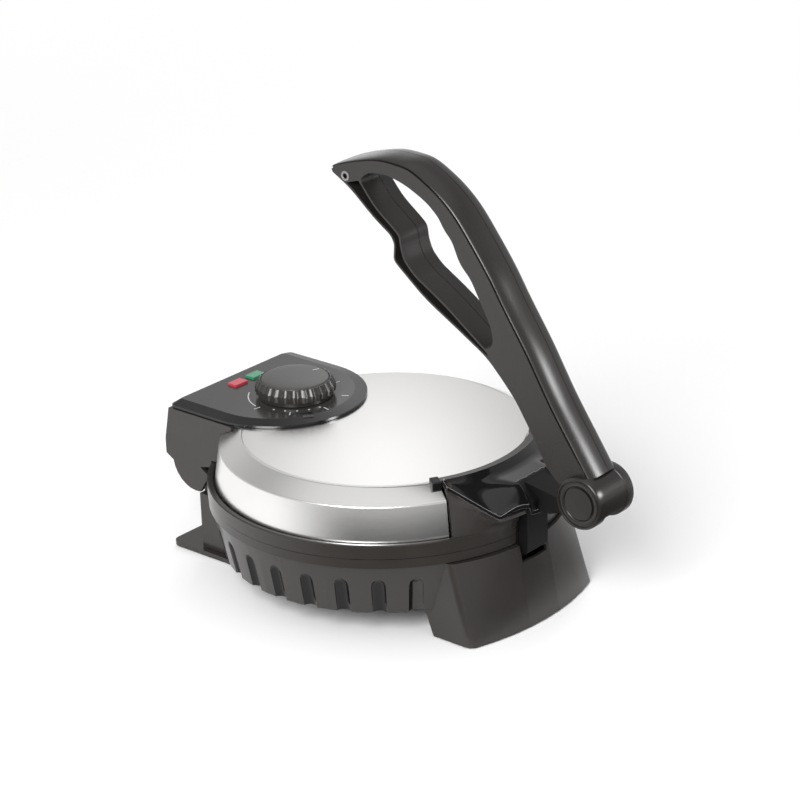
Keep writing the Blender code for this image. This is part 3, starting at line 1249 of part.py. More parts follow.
def control_panel():
    bevel = PANEL_BEVEL_WIDTH
    wall = PANEL_WALL
    panel = loft([
        panel_section(0, PANEL_BOTTOM), panel_section(0, PANEL_EDGE_TOP), panel_section(bevel, PANEL_TOP),
    ])
    hollow = loft([
        panel_section(wall, PANEL_BOTTOM - OVERRUN), panel_section(wall, PANEL_EDGE_TOP - wall + GAP),
        panel_section(bevel, PANEL_TOP - wall),
    ])
    pegs = []
    for side in (-1, 1):
        x = side * PANEL_PEG_X
        pegs.append(rod(
            (x, KNOB_Y, THERMOSTAT_TOP + GAP), (x, KNOB_Y, PANEL_TOP - wall / 2), PANEL_PEG_RADIUS, SCREW_STEPS,
        ))
    cut(panel, hollow)
    join(panel, merged(pegs))
    tab_low = PANEL_BOTTOM + GAP
    join(panel, box(
        (PANEL_TAB_X - PANEL_TAB_WIDTH / 2, PANEL_TAB_Y - PANEL_TAB_DEPTH / 2, tab_low),
        (PANEL_TAB_X + PANEL_TAB_WIDTH / 2, PANEL_TAB_Y + PANEL_TAB_DEPTH / 2, PANEL_TOP - PANEL_TAB_RISE / 4),
    ))
    cut(panel, rod(
        (0, KNOB_Y, PANEL_BOTTOM - OVERRUN), (0, KNOB_Y, PANEL_TOP + OVERRUN), PANEL_HOLE_RADIUS,
    ))
    windows = []
    for x in (LAMP_RED_X, LAMP_GREEN_X):
        windows.append(box(
            (x - LENS_HALF_WIDTH - GAP, LAMP_Y - LENS_HALF_DEPTH - GAP, PANEL_TOP - 2 * wall),
            (x + LENS_HALF_WIDTH + GAP, LAMP_Y + LENS_HALF_DEPTH + GAP, PANEL_TOP + OVERRUN),
        ))
    cut(panel, merged(windows))
    part(panel, "control_panel", LID, "panel")


def lamps():
    under = PANEL_TOP - PANEL_WALL - GAP
    for x, color in ((LAMP_RED_X, "red"), (LAMP_GREEN_X, "green")):
        lens = box(
            (x - LENS_HALF_WIDTH, LAMP_Y - LENS_HALF_DEPTH, under - LENS_FLANGE_THICKNESS),
            (x + LENS_HALF_WIDTH, LAMP_Y + LENS_HALF_DEPTH, PANEL_TOP + LENS_PROUD),
        )
        wide = LENS_HALF_WIDTH + LENS_FLANGE / 2
        deep = LENS_HALF_DEPTH + LENS_FLANGE
        join(lens, box(
            (x - wide, LAMP_Y - deep, under - LENS_FLANGE_THICKNESS - OVERLAP / 2),
            (x + wide, LAMP_Y + deep, under - OVERLAP / 4),
        ))
        part(lens, f"{color}_lens", LID, color)
        top = under - LENS_FLANGE_THICKNESS - OVERLAP / 2 - GAP
        lamp = rod((x, LAMP_Y, top - LAMP_LENGTH), (x, LAMP_Y, top), LAMP_RADIUS, SCREW_STEPS)
        part(lamp, f"{color}_lamp", LID, "ceramic")


def thermostat():
    body = box(
        (-THERMOSTAT_HALF_WIDTH, KNOB_Y - THERMOSTAT_HALF_DEPTH, THERMOSTAT_TOP - THERMOSTAT_HEIGHT),
        (THERMOSTAT_HALF_WIDTH, KNOB_Y + THERMOSTAT_HALF_DEPTH, THERMOSTAT_TOP),
    )
    part(body, "thermostat", LID, "ceramic")
    top = KNOB_BOTTOM + SPINDLE_REACH
    spindle = rod((0, KNOB_Y, THERMOSTAT_TOP + GAP), (0, KNOB_Y, top), SPINDLE_RADIUS)
    flat = box(
        (SPINDLE_RADIUS / 2, KNOB_Y - SPINDLE_RADIUS * 2, KNOB_BOTTOM),
        (SPINDLE_RADIUS * 2, KNOB_Y + SPINDLE_RADIUS * 2, top + OVERRUN),
    )
    part(cut(spindle, flat), "thermostat_spindle", KNOB, "screw")


def grip_section(radius, height):
    """One level of the ridged grip: a circle drawn in between its ridges."""
    points = []
    for i in range(4 * KNOB_RIDGES):
        angle = 2 * math.pi * i / (4 * KNOB_RIDGES)
        drawn_in = KNOB_RIDGE_DEPTH * (i % 4 in (1, 2, 3)) * (1.0 if i % 4 == 2 else 0.75)
        reach = radius - drawn_in
        points.append((reach * math.cos(angle), KNOB_Y + reach * math.sin(angle), height))
    return points


def knob():
    grip = loft([
        grip_section(KNOB_GRIP_RADIUS, KNOB_BAND_TOP), grip_section(KNOB_GRIP_RADIUS, KNOB_BAND_TOP + KNOB_GRIP_HEIGHT / 2),
        grip_section(KNOB_GRIP_TOP_RADIUS, KNOB_GRIP_TOP),
    ])
    join(grip, disc(KNOB_BAND_RADIUS, KNOB_BOTTOM, KNOB_BAND_TOP + OVERLAP, PLATE_STEPS, KNOB_Y))
    inner = KNOB_BAND_RADIUS - KNOB_SHELL
    cut(grip, annulus(inner, KNOB_HUB_RADIUS, KNOB_BOTTOM - OVERRUN, KNOB_FACE - KNOB_SHELL, PLATE_STEPS, KNOB_Y))
    cut(grip, disc(KNOB_CAP_RADIUS + GAP, KNOB_FACE, KNOB_GRIP_TOP + OVERRUN, PLATE_STEPS, KNOB_Y))
    socket = rod(
        (0, KNOB_Y, KNOB_BOTTOM - OVERRUN), (0, KNOB_Y, KNOB_BOTTOM + SPINDLE_REACH + GAP), SPINDLE_RADIUS + GAP,
    )
    cut(socket, box(
        (SPINDLE_RADIUS / 2 + GAP, KNOB_Y - SPINDLE_RADIUS * 2, KNOB_BOTTOM - 2 * OVERRUN),
        (SPINDLE_RADIUS * 2, KNOB_Y + SPINDLE_RADIUS * 2, KNOB_BOTTOM + 2 * SPINDLE_REACH),
    ))
    cut(grip, socket)
    part(grip, "knob", KNOB, "case")
    rise = KNOB_DOME_HEIGHT
    radius = KNOB_CAP_RADIUS
    dome = [(radius * math.sin(math.radians(a)) , KNOB_GRIP_TOP + rise * math.cos(math.radians(a)))
            for a in (0.0, 20.0, 40.0, 60.0, 78.0)]
    dome[0] = (0, dome[0][1])
    profile = dome + [(radius, KNOB_GRIP_TOP - KNOB_CAP_THICKNESS / 4), (radius, KNOB_FACE + GAP), (0, KNOB_FACE + GAP)]
    part(turned(profile, PLATE_STEPS, KNOB_Y, False), "knob_cap", KNOB, "handle")


def handle_point(share):
    return (PIVOT_Y + share[0] * HANDLE_REACH, PIVOT_Z + share[1] * HANDLE_RISE)


def handle_outline():
    hub = arc((PIVOT_Y, PIVOT_Z), HUB_BORE_RADIUS - OVERLAP, math.radians(-20.0), math.radians(-190.0), 6)
    return [handle_point(s) for s in BACK_SHARES + BELLY_SHARES] + hub


def outward_normals(points):
    """Unit normals, away from the loop, at each point of the handle's back edge."""
    normals = []
    for i in range(len(points)):
        before = Vector(points[max(i - 1, 0)])
        after = Vector(points[min(i + 1, len(points) - 1)])
        run = (after - before).normalized()
        normals.append(Vector((-run.y, run.x)))
    return normals


def crown(low_x, high_x):
    """The rounded back of the handle, standing above its side faces."""
    back = [Vector(handle_point(s)) for s in BACK_SHARES]
    points = [back[0].lerp(back[1], CROWN_END_SHARE)]
    points += [a.lerp(b, 0.5) for a, b in zip(back, back[1:])]
    points.append(back[-1].lerp(back[-2], CROWN_END_SHARE))
    normals = outward_normals(points)
    sections = []
    half = HANDLE_HALF_WIDTH - CROWN_INSET
    for i, (point, normal) in enumerate(zip(points, normals)):
        share = i / (len(points) - 1)
        height = CROWN_HEIGHT * (1 - (1 - CROWN_TIP_SHARE) * max(0.0, share - 0.5) * 2)
        columns = [low_x + (high_x - low_x) * k / 5 for k in range(6)]
        rows = [(x, CROWN_EDGE + (height - CROWN_EDGE) * max(0.0, 1 - (x / half) ** 2) ** 0.6) for x in columns]
        base = Vector(point) - normal * OVERRUN
        top = [(x, *(Vector(point) + normal * rise)) for x, rise in rows]
        sections.append(top + [(high_x, *base), (low_x, *base)])
    return loft(sections)


def hub_shell(low_x, high_x):
    """The thin wall round the back of the hub, between its two discs."""
    centre = (PIVOT_Y, PIVOT_Z)
    outer = arc(centre, HUB_RADIUS - HUB_SHELL_STEP, HUB_SHELL_START, HUB_SHELL_END, HUB_SHELL_POINTS)
    inner = arc(centre, HUB_BORE_RADIUS - OVERLAP, HUB_SHELL_END, HUB_SHELL_START, HUB_SHELL_POINTS)
    return side_plate(outer + inner, low_x, high_x)


def handle_half(side):
    """One half of the handle: side -1 holds the seam at +X, side 1 meets it there."""
    if side < 0:
        low, high = -HANDLE_HALF_WIDTH, HANDLE_SEAM_X
        crown_low, crown_high = low + CROWN_INSET, high - GAP
        disc_ends = (-HUB_HALF_WIDTH, -WEB_HALF_WIDTH - GAP)
    else:
        low, high = HANDLE_SEAM_X + GAP, HANDLE_HALF_WIDTH
        crown_low, crown_high = low + GAP, high - CROWN_INSET
        disc_ends = (WEB_HALF_WIDTH + GAP, HUB_HALF_WIDTH)
    half = side_plate(handle_outline(), low, high, [handle_point(s) for s in LOOP_SHARES])
    join(half, crown(crown_low, crown_high))
    inner = disc_ends[1] - OVERLAP if side < 0 else disc_ends[0] + OVERLAP
    join(half, hub_shell(*sorted((high - 2 * GAP if side < 0 else low + 2 * GAP, inner))))
    bore_end = WEB_HALF_WIDTH + GAP
    cut(half, rod((-bore_end, PIVOT_Y, PIVOT_Z), (bore_end, PIVOT_Y, PIVOT_Z), HUB_BORE_RADIUS, PLATE_STEPS // 2))
    join(half, rod((disc_ends[0], PIVOT_Y, PIVOT_Z), (disc_ends[1], PIVOT_Y, PIVOT_Z), HUB_RADIUS, PLATE_STEPS // 2))
    rim_x = HUB_HALF_WIDTH - HUB_RIM_DEPTH
    cut(half, rod((side * rim_x, PIVOT_Y, PIVOT_Z), (side * (HUB_HALF_WIDTH + OVERRUN), PIVOT_Y, PIVOT_Z), HUB_RIM_RADIUS))
    cut(half, rod(
        (side * PIN_SHOULDER_X, PIVOT_Y, PIVOT_Z), (side * (HUB_HALF_WIDTH + OVERRUN), PIVOT_Y, PIVOT_Z),
        PIN_HEAD_RADIUS + 2 * GAP,
    ))
    cut(half, rod(
        (side * (WEB_HALF_WIDTH - OVERRUN), PIVOT_Y, PIVOT_Z), (side * HUB_HALF_WIDTH, PIVOT_Y, PIVOT_Z),
        PIVOT_PIN_RADIUS + GAP,
    ))
    return half


def handle():
    seam = HANDLE_SEAM_X
    left = handle_half(-1)
    right = handle_half(1)
    pocket = side_plate(
        [handle_point(s) for s in POCKET_SHARES], -HANDLE_HALF_WIDTH - OVERRUN, -HANDLE_HALF_WIDTH + STRAP_POCKET_DEPTH,
    )
    cut(left, pocket)
    cavity = [handle_point(s) for s in ARM_CAVITY_SHARES]
    cut(left, side_plate(cavity, -HANDLE_HALF_WIDTH + CAVITY_WALL, seam + OVERRUN))
    cut(right, side_plate(cavity, seam - OVERRUN, HANDLE_HALF_WIDTH - CAVITY_WALL))
    shank = HANDLE_SCREW_RADIUS + GAP
    head = HANDLE_SCREW_HEAD_RADIUS + GAP
    wide = HANDLE_HALF_WIDTH
    tip = handle_point(TIP_SCREW_SHARE)
    tip_seat = STRAP_POCKET_DEPTH - wide
    seat = wide - HANDLE_SCREW_SEAT
    places = [handle_point(s) for s in ARM_SCREW_SHARES]
    blind = wide - CAVITY_WALL
    left_shanks = [rod((-blind, *place), (seam + OVERRUN, *place), shank, SCREW_STEPS) for place in places]
    left_shanks.append(rod((tip_seat - HANDLE_SCREW_SEAT, *tip), (seam + OVERRUN, *tip), shank, SCREW_STEPS))
    right_shanks = [rod((seam - OVERRUN, *place), (wide + OVERRUN, *place), shank, SCREW_STEPS) for place in places]
    right_shanks.append(rod((seam - OVERRUN, *tip), (blind, *tip), shank, SCREW_STEPS))
    right_heads = [rod((seat, *place), (wide + OVERRUN, *place), head, SCREW_STEPS) for place in places]
    cut(left, merged(left_shanks), rod((-wide - OVERRUN, *tip), (tip_seat, *tip), head, SCREW_STEPS))
    cut(right, merged(right_shanks), merged(right_heads))
    part(left, "handle_left", HANDLE, "handle")
    part(right, "handle_right", HANDLE, "handle")
    cross_screw(tip, tip_seat - GAP, HANDLE_HALF_WIDTH - CAVITY_WALL - GAP, "handle_screw_1")
    for number, place in enumerate(places, 2):
        cross_screw(place, seat + GAP, -HANDLE_HALF_WIDTH + CAVITY_WALL + GAP, f"handle_screw_{number}")


def cross_screw(place, seat, end, name):
    """A screw across the handle, from its head's seat to its point."""
    away = math.copysign(SCREW_HEAD_HEIGHT, seat - end)
    head = rod((seat + away, *place), (seat, *place), HANDLE_SCREW_HEAD_RADIUS, SCREW_STEPS)
    shank = rod((seat + away / 2, *place), (end, *place), HANDLE_SCREW_RADIUS, SCREW_STEPS)
    part(join(head, shank), name, HANDLE, "screw")


def pivot():
    shoulder = PIN_SHOULDER_X + GAP
    pin = rod((-shoulder - OVERLAP, PIVOT_Y, PIVOT_Z), (shoulder + OVERLAP, PIVOT_Y, PIVOT_Z), PIVOT_PIN_RADIUS)
    for side in (-1, 1):
        join(pin, rod(
            (side * shoulder, PIVOT_Y, PIVOT_Z), (side * (shoulder + PIN_HEAD_HEIGHT), PIVOT_Y, PIVOT_Z), PIN_HEAD_RADIUS,
        ))
    part(pin, "pivot_pin", HANDLE, "screw")
    floor_x = HUB_HALF_WIDTH - HUB_RIM_DEPTH
    plug_x = shoulder + PIN_HEAD_HEIGHT + GAP
    for side, name in ((-1, "pivot_cap_left"), (1, "pivot_cap_right")):
        face = floor_x + GAP
        cap = rod((side * face, PIVOT_Y, PIVOT_Z), (side * (face + CAP_THICKNESS), PIVOT_Y, PIVOT_Z), CAP_RADIUS)
        join(cap, rod((side * plug_x, PIVOT_Y, PIVOT_Z), (side * (face + CAP_THICKNESS / 2), PIVOT_Y, PIVOT_Z), PIN_HEAD_RADIUS))
        part(cap, name, HANDLE, "handle")


base_housing()
rear_stand()
foot_pads()
bottom_cover()
base_screws()
lower_heating()
wiring_pieces()
hinge_pins()
lid_ring()
lid_cover()
control_housing()
control_panel()
lamps()
thermostat()
upper_heating()
knob()
handle()
pivot()
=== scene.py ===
"""Looks of the electric roti maker: finishes, rounded edges, fine detail, studio and camera.

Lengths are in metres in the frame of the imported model: X across, -Y towards the handle, Z up.
"""
import json
import math

import bmesh
import bpy
from mathutils import Matrix, Vector


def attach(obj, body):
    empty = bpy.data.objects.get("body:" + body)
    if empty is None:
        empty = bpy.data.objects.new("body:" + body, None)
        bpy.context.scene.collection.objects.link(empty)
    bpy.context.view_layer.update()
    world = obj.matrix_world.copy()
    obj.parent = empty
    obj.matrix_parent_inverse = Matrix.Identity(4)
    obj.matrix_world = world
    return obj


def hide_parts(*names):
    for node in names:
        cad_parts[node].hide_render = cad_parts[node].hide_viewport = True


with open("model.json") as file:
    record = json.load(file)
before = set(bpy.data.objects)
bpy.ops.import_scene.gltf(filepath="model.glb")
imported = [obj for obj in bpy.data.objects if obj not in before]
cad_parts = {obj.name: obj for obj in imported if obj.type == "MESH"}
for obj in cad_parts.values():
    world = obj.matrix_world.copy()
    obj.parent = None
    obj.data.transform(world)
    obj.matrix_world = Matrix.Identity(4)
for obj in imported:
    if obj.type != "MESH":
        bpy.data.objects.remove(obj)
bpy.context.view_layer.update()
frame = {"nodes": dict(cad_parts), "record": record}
NODES = frame["nodes"]

SCENE = bpy.context.scene
SCENE.view_settings.view_transform = "Standard"

# Places shared with the CAD model
PLATE_Y = 0.02275
PLATE_Z = 0.0695

# The camera that the photograph was taken with
CAMERA_AZIMUTH = math.radians(-48.5075)
CAMERA_ELEVATION = math.radians(23.932)
CAMERA_ROLL = math.radians(-2.0014)
CAMERA_DISTANCE = 2.0
FOCAL_PIXELS = 2894.2
CENTRE_PIXEL = (387.2071, 475.0606)
FRAME_PIXELS = 800
SENSOR_WIDTH = 36.0


def add_camera():
    data = bpy.data.cameras.new("photo_camera")
    data.sensor_width = SENSOR_WIDTH
    data.lens = FOCAL_PIXELS * SENSOR_WIDTH / FRAME_PIXELS
    data.shift_x = (FRAME_PIXELS / 2 - CENTRE_PIXEL[0]) / FRAME_PIXELS
    data.shift_y = (CENTRE_PIXEL[1] - FRAME_PIXELS / 2) / FRAME_PIXELS
    camera = bpy.data.objects.new("photo_camera", data)
    SCENE.collection.objects.link(camera)
    azimuth, elevation, roll = CAMERA_AZIMUTH, CAMERA_ELEVATION, CAMERA_ROLL
    back = Vector((
        math.sin(azimuth) * math.cos(elevation),
        -math.cos(azimuth) * math.cos(elevation),
        math.sin(elevation),
    ))
    level = Vector((math.cos(azimuth), math.sin(azimuth), 0))
    upright = back.cross(level)
    right = level * math.cos(roll) + upright * math.sin(roll)
    up = upright * math.cos(roll) - level * math.sin(roll)
    turn = Matrix((right, up, back)).transposed().to_4x4()
    target = Vector((0, PLATE_Y, PLATE_Z))
    camera.matrix_world = Matrix.Translation(target + back * CAMERA_DISTANCE) @ turn
    SCENE.camera = camera


# Cards that only reflections see: a dark cloth on the floor and two round bright cards. Places, what
# they face, radii and how bright they are
CLOTH_LOW = math.radians(-80.0)
CLOTH_HIGH = math.radians(126.0)
CLOTH_SOFT = math.radians(60.0)
CLOTH_NEAR = 0.15
CLOTH_FAR = 2.0
CLOTH_EDGE = 0.06
CLOTH_HEIGHT = 0.003
CLOTH_TONE = 0.03
CLOTH_STEPS = (24, 64)
CARD_PLACE = (0.25, 0.245, 0.31)
CARD_AIM = (-0.06, -0.03, 0.105)
CARD_RADIUS = 0.17
CARD_TONE = 1.35
EDGE_CARD_PLACE = (0.37, -0.78, 0.45)
EDGE_CARD_AIM = (0.0, -0.12, 0.09)
EDGE_CARD_RADIUS = 0.17
EDGE_CARD_TONE = 34.0
CARD_STEPS = (16, 48)
# How bright reflections find the studio from the horizon, at 0, to overhead, at 1
CEILING = ((0.0, 0.66), (0.35, 0.64), (0.72, 0.42), (0.93, 0.85), (1.0, 0.9))

# Colour sockets of a mix node: its two inputs and its output
MIX_FIRST = 6
MIX_SECOND = 7
MIX_RESULT = 2

# Studio: pale floor that turns white far out, white surround for the camera, soft lamps with their
# place, size, power and whether reflections see them
FLOOR_SIZE = 9.0
FLOOR_FADE = (0.45, 1.7)
FLOOR_COLOR = (0.97, 0.97, 0.97)
FLOOR_CLOUD_SCALE = 3.0
FLOOR_ROUGHNESS = 0.9
FLOOR_SPECULAR = 0.1
WORLD_LIGHT = 0.62
LAMPS = (
    ("key", (-1.6, -0.6, 1.2), 1.1, 40.0, True),
    ("fill", (1.5, -1.3, 1.3), 1.2, 3.0, False),
    ("rim", (1.7, 1.1, 1.5), 1.1, 10.0, False),
)
LAMP_TARGET = (0.0, 0.0, 0.08)


def add_lamps():
    for name, place, size, power, mirrored in LAMPS:
        data = bpy.data.lights.new(f"studio_{name}", "AREA")
        data.shape = "DISK"
        data.size = size
        data.energy = power
        lamp = bpy.data.objects.new(f"studio_{name}", data)
        SCENE.collection.objects.link(lamp)
        lamp.location = place
        lamp.visible_glossy = mirrored
        aim = Vector(LAMP_TARGET) - Vector(place)
        lamp.rotation_euler = aim.to_track_quat("-Z", "Y").to_euler()


def seen_directly(nodes, links):
    """1 where the camera, a mirror or a lens looks, 0 for the light that falls on the object."""
    path = nodes.new("ShaderNodeLightPath")
    first = nodes.new("ShaderNodeMath")
    first.operation = "MAXIMUM"
    links.new(path.outputs["Is Camera Ray"], first.inputs[0])
    links.new(path.outputs["Is Glossy Ray"], first.inputs[1])
    second = nodes.new("ShaderNodeMath")
    second.operation = "MAXIMUM"
    links.new(first.outputs["Value"], second.inputs[0])
    links.new(path.outputs["Is Transmission Ray"], second.inputs[1])
    return second.outputs["Value"]


def sky_color(nodes, links):
    """White for the camera; for reflections a studio ceiling that is brightest overhead."""
    place = nodes.new("ShaderNodeTexCoord")
    height = nodes.new("ShaderNodeSeparateXYZ")
    links.new(place.outputs["Generated"], height.inputs["Vector"])
    ceiling = nodes.new("ShaderNodeValToRGB")
    ceiling.color_ramp.interpolation = "EASE"
    stops = ceiling.color_ramp.elements
    stops[0].position, stops[0].color = CEILING[0][0], (*[CEILING[0][1]] * 3, 1)
    stops[1].position, stops[1].color = CEILING[-1][0], (*[CEILING[-1][1]] * 3, 1)
    for position, value in CEILING[1:-1]:
        stops.new(position).color = (*[value] * 3, 1)
    links.new(height.outputs["Z"], ceiling.inputs["Fac"])
    path = nodes.new("ShaderNodeLightPath")
    mix = nodes.new("ShaderNodeMix")
    mix.data_type = "RGBA"
    mix.inputs[MIX_FIRST].default_value = (1, 1, 1, 1)
    links.new(path.outputs["Is Glossy Ray"], mix.inputs[0])
    links.new(ceiling.outputs["Color"], mix.inputs[MIX_SECOND])
    return mix.outputs[MIX_RESULT]


def glow_card(name, mesh, strength, place=(0, 0, 0), aim=None):
    """A studio card that only reflections see; its vertices carry how much it covers."""
    made, nodes, links, shader = new_material(name)
    nodes.remove(shader)
    fade = nodes.new("ShaderNodeAttribute")
    fade.attribute_name = "fade"
    glow = nodes.new("ShaderNodeEmission")
    glow.inputs["Color"].default_value = (1, 1, 1, 1)
    glow.inputs["Strength"].default_value = strength
    clear = nodes.new("ShaderNodeBsdfTransparent")
    blend = nodes.new("ShaderNodeMixShader")
    links.new(fade.outputs["Fac"], blend.inputs["Fac"])
    links.new(clear.outputs["BSDF"], blend.inputs[1])
    links.new(glow.outputs["Emission"], blend.inputs[2])
    links.new(blend.outputs["Shader"], nodes["Material Output"].inputs["Surface"])
    card = bpy.data.objects.new(name, mesh)
    SCENE.collection.objects.link(card)
    repaint(card, made)
    card.location = place
    if aim is not None:
        card.rotation_euler = (Vector(aim) - Vector(place)).to_track_quat("Z", "Y").to_euler()
    card.visible_camera = False
    card.visible_diffuse = False
    card.visible_shadow = False
    card.visible_transmission = False


def finished_mesh(shape, name, closed=False):
    """The sketched shape as a mesh, with the faces of a closed one turned outwards."""
    if closed:
        bmesh.ops.recalc_face_normals(shape, faces=shape.faces)
    mesh = bpy.data.meshes.new(name)
    shape.to_mesh(mesh)
    shape.free()
    return mesh


def fan_mesh(name, radii, angles, fade_of):
    """A flat fan of rings; fade_of gives how much it covers at a radius and an angle."""
    shape = bmesh.new()
    fade = shape.verts.layers.float.new("fade")
    rows = []
    for radius in radii:
        row = []
        for angle in angles:
            vert = shape.verts.new((-radius * math.sin(angle), -radius * math.cos(angle), 0))
            vert[fade] = fade_of(radius, angle)
            row.append(vert)
        rows.append(row)
    for low, high in zip(rows, rows[1:]):
        for i in range(len(angles) - 1):
            shape.faces.new((low[i], low[i + 1], high[i + 1], high[i]))
    return finished_mesh(shape, name)


def steps_between(low, high, count):
    return [low + (high - low) * i / count for i in range(count + 1)]


def ease(value):
    """A soft step from 0 to 1."""
    value = min(max(value, 0.0), 1.0)
    return value * value * (3 - 2 * value)


def add_cards():
    """A dark cloth in front, seen in the band, and soft bright cards behind the lid and before the lip."""

    def cloth_fade(radius, angle):
        side = ease((angle - CLOTH_LOW) / CLOTH_SOFT) * ease((CLOTH_HIGH - angle) / CLOTH_SOFT)
        return side * ease((radius - CLOTH_NEAR) / CLOTH_EDGE) * ease((CLOTH_FAR - radius) / CLOTH_EDGE)

    rings, turns = CLOTH_STEPS
    radii = steps_between(CLOTH_NEAR, CLOTH_FAR, rings)
    cloth = fan_mesh("dark_cloth", radii, steps_between(CLOTH_LOW, CLOTH_HIGH, turns), cloth_fade)
    glow_card("dark_cloth", cloth, CLOTH_TONE, (0, PLATE_Y, CLOTH_HEIGHT))
    rings, turns = CARD_STEPS
    for name, size, tone, place, aim in (
        ("bright_card", CARD_RADIUS, CARD_TONE, CARD_PLACE, CARD_AIM),
        ("edge_card", EDGE_CARD_RADIUS, EDGE_CARD_TONE, EDGE_CARD_PLACE, EDGE_CARD_AIM),
    ):
        card = fan_mesh(
            name, steps_between(0.0, size, rings), steps_between(0.0, 2 * math.pi, turns),
            lambda radius, angle, size=size: ease(1 - radius / size),
        )
        glow_card(name, card, tone, place, aim)


def add_world():
    world = bpy.data.worlds.new("studio")
    SCENE.world = world
    world.use_nodes = True
    nodes, links = world.node_tree.nodes, world.node_tree.links
    nodes.clear()
    output = nodes.new("ShaderNodeOutputWorld")
    light = nodes.new("ShaderNodeBackground")
    light.inputs["Strength"].default_value = WORLD_LIGHT
    surround = nodes.new("ShaderNodeBackground")
    choice = nodes.new("ShaderNodeMixShader")
    light.inputs["Color"].default_value = (1, 1, 1, 1)
    links.new(sky_color(nodes, links), surround.inputs["Color"])
    links.new(seen_directly(nodes, links), choice.inputs["Fac"])
    links.new(light.outputs["Background"], choice.inputs[1])
    links.new(surround.outputs["Background"], choice.inputs[2])
    links.new(choice.outputs["Shader"], output.inputs["Surface"])


# Materials. Noise runs between NOISE_LOW and NOISE_HIGH; a share is of the given colour or roughness
NOISE_LOW = 0.1
NOISE_HIGH = 0.9
NOISE_DETAIL = 3.0
CLOUD_DETAIL = 2.0
FLOW_SCALE = 28.0
FLOW_DARK_SHARE = 0.90
FLOW_LIGHT_SHARE = 1.10
GRAIN_SCALE = 2600.0
GRAIN_DEPTH = 0.00006
METAL_SCALE = 900.0
METAL_DETAIL = 4.0
METAL_DARK_SHARE = 0.97
METAL_GLOSS_SHARES = (0.85, 1.15)
METAL_DEPTH = 0.0001
LENS_SCALE = 300.0
LENS_DARK_SHARE = 0.8
LENS_ROUGHNESS = (0.12, 0.22)
LENS_COAT = 0.5


def new_material(name):
    made = bpy.data.materials.new(name)
    made.use_nodes = True
    nodes, links = made.node_tree.nodes, made.node_tree.links
    return made, nodes, links, nodes["Principled BSDF"]


def add_noise(nodes, links, scale, detail=NOISE_DETAIL, stretch=None):
    """Noise in object space; stretch scales each axis, to draw it out into streaks."""
    place = nodes.new("ShaderNodeTexCoord")
    noise = nodes.new("ShaderNodeTexNoise")
    noise.inputs["Scale"].default_value = scale
    noise.inputs["Detail"].default_value = detail
    if stretch:
        mapping = nodes.new("ShaderNodeMapping")
        mapping.inputs["Scale"].default_value = stretch
        links.new(place.outputs["Object"], mapping.inputs["Vector"])
        links.new(mapping.outputs["Vector"], noise.inputs["Vector"])
    else:
        links.new(place.outputs["Object"], noise.inputs["Vector"])
    return noise.outputs["Fac"]


def vary(nodes, links, source, low, high, target):
    """Let a value follow the noise."""
    spread = nodes.new("ShaderNodeMapRange")
    spread.inputs["From Min"].default_value = NOISE_LOW
    spread.inputs["From Max"].default_value = NOISE_HIGH
    spread.inputs["To Min"].default_value = low
    spread.inputs["To Max"].default_value = high
    links.new(source, spread.inputs["Value"])
    links.new(spread.outputs["Result"], target)


def tint(nodes, links, source, dark, light, target):
    """Let a colour follow the noise."""
    ramp = nodes.new("ShaderNodeValToRGB")
    first, second = ramp.color_ramp.elements
    first.position, first.color = NOISE_LOW, (*dark, 1)
    second.position, second.color = NOISE_HIGH, (*light, 1)
    links.new(source, ramp.inputs["Fac"])
    links.new(ramp.outputs["Color"], target)


def bumps(nodes, links, source, shader, strength, distance):
    bump = nodes.new("ShaderNodeBump")
    bump.inputs["Strength"].default_value = strength
    bump.inputs["Distance"].default_value = distance
    links.new(source, bump.inputs["Height"])
    links.new(bump.outputs["Normal"], shader.inputs["Normal"])


def moulded(name, color, roughness, grain=0.10, spread=0.05, specular=0.5):
    """Moulded plastic: a fine grain, slightly uneven gloss and faint flow marks in the colour."""
    made, nodes, links, shader = new_material(name)
    shader.inputs["Specular IOR Level"].default_value = specular
    cloud = add_noise(nodes, links, FLOW_SCALE, CLOUD_DETAIL)
    dark, light = [c * FLOW_DARK_SHARE for c in color], [c * FLOW_LIGHT_SHARE for c in color]
    tint(nodes, links, cloud, dark, light, shader.inputs["Base Color"])
    vary(nodes, links, cloud, roughness - spread, roughness + spread, shader.inputs["Roughness"])
    bumps(nodes, links, add_noise(nodes, links, GRAIN_SCALE, CLOUD_DETAIL), shader, grain, GRAIN_DEPTH)
    return made


def metal(name, color, roughness, streak=None, strength=0.05, brushed=0.0):
    """Metal with a fine grain; a brushed one spreads its highlights round the Z axis."""
    made, nodes, links, shader = new_material(name)
    shader.inputs["Metallic"].default_value = 1.0
    grain = add_noise(nodes, links, METAL_SCALE, METAL_DETAIL, streak)
    tint(nodes, links, grain, [c * METAL_DARK_SHARE for c in color], color, shader.inputs["Base Color"])
    low, high = [roughness * share for share in METAL_GLOSS_SHARES]
    vary(nodes, links, grain, low, high, shader.inputs["Roughness"])
    bumps(nodes, links, grain, shader, strength, METAL_DEPTH)
    if brushed:
        tangent = nodes.new("ShaderNodeTangent")
        tangent.direction_type = "RADIAL"
        tangent.axis = "Z"
        links.new(tangent.outputs["Tangent"], shader.inputs["Tangent"])
        shader.inputs["Anisotropic"].default_value = brushed
    return made


def lens(name, color):
    made, nodes, links, shader = new_material(name)
    cloud = add_noise(nodes, links, LENS_SCALE, CLOUD_DETAIL)
    tint(nodes, links, cloud, [c * LENS_DARK_SHARE for c in color], color, shader.inputs["Base Color"])
    vary(nodes, links, cloud, *LENS_ROUGHNESS, shader.inputs["Roughness"])
    shader.inputs["Coat Weight"].default_value = LENS_COAT
    return made


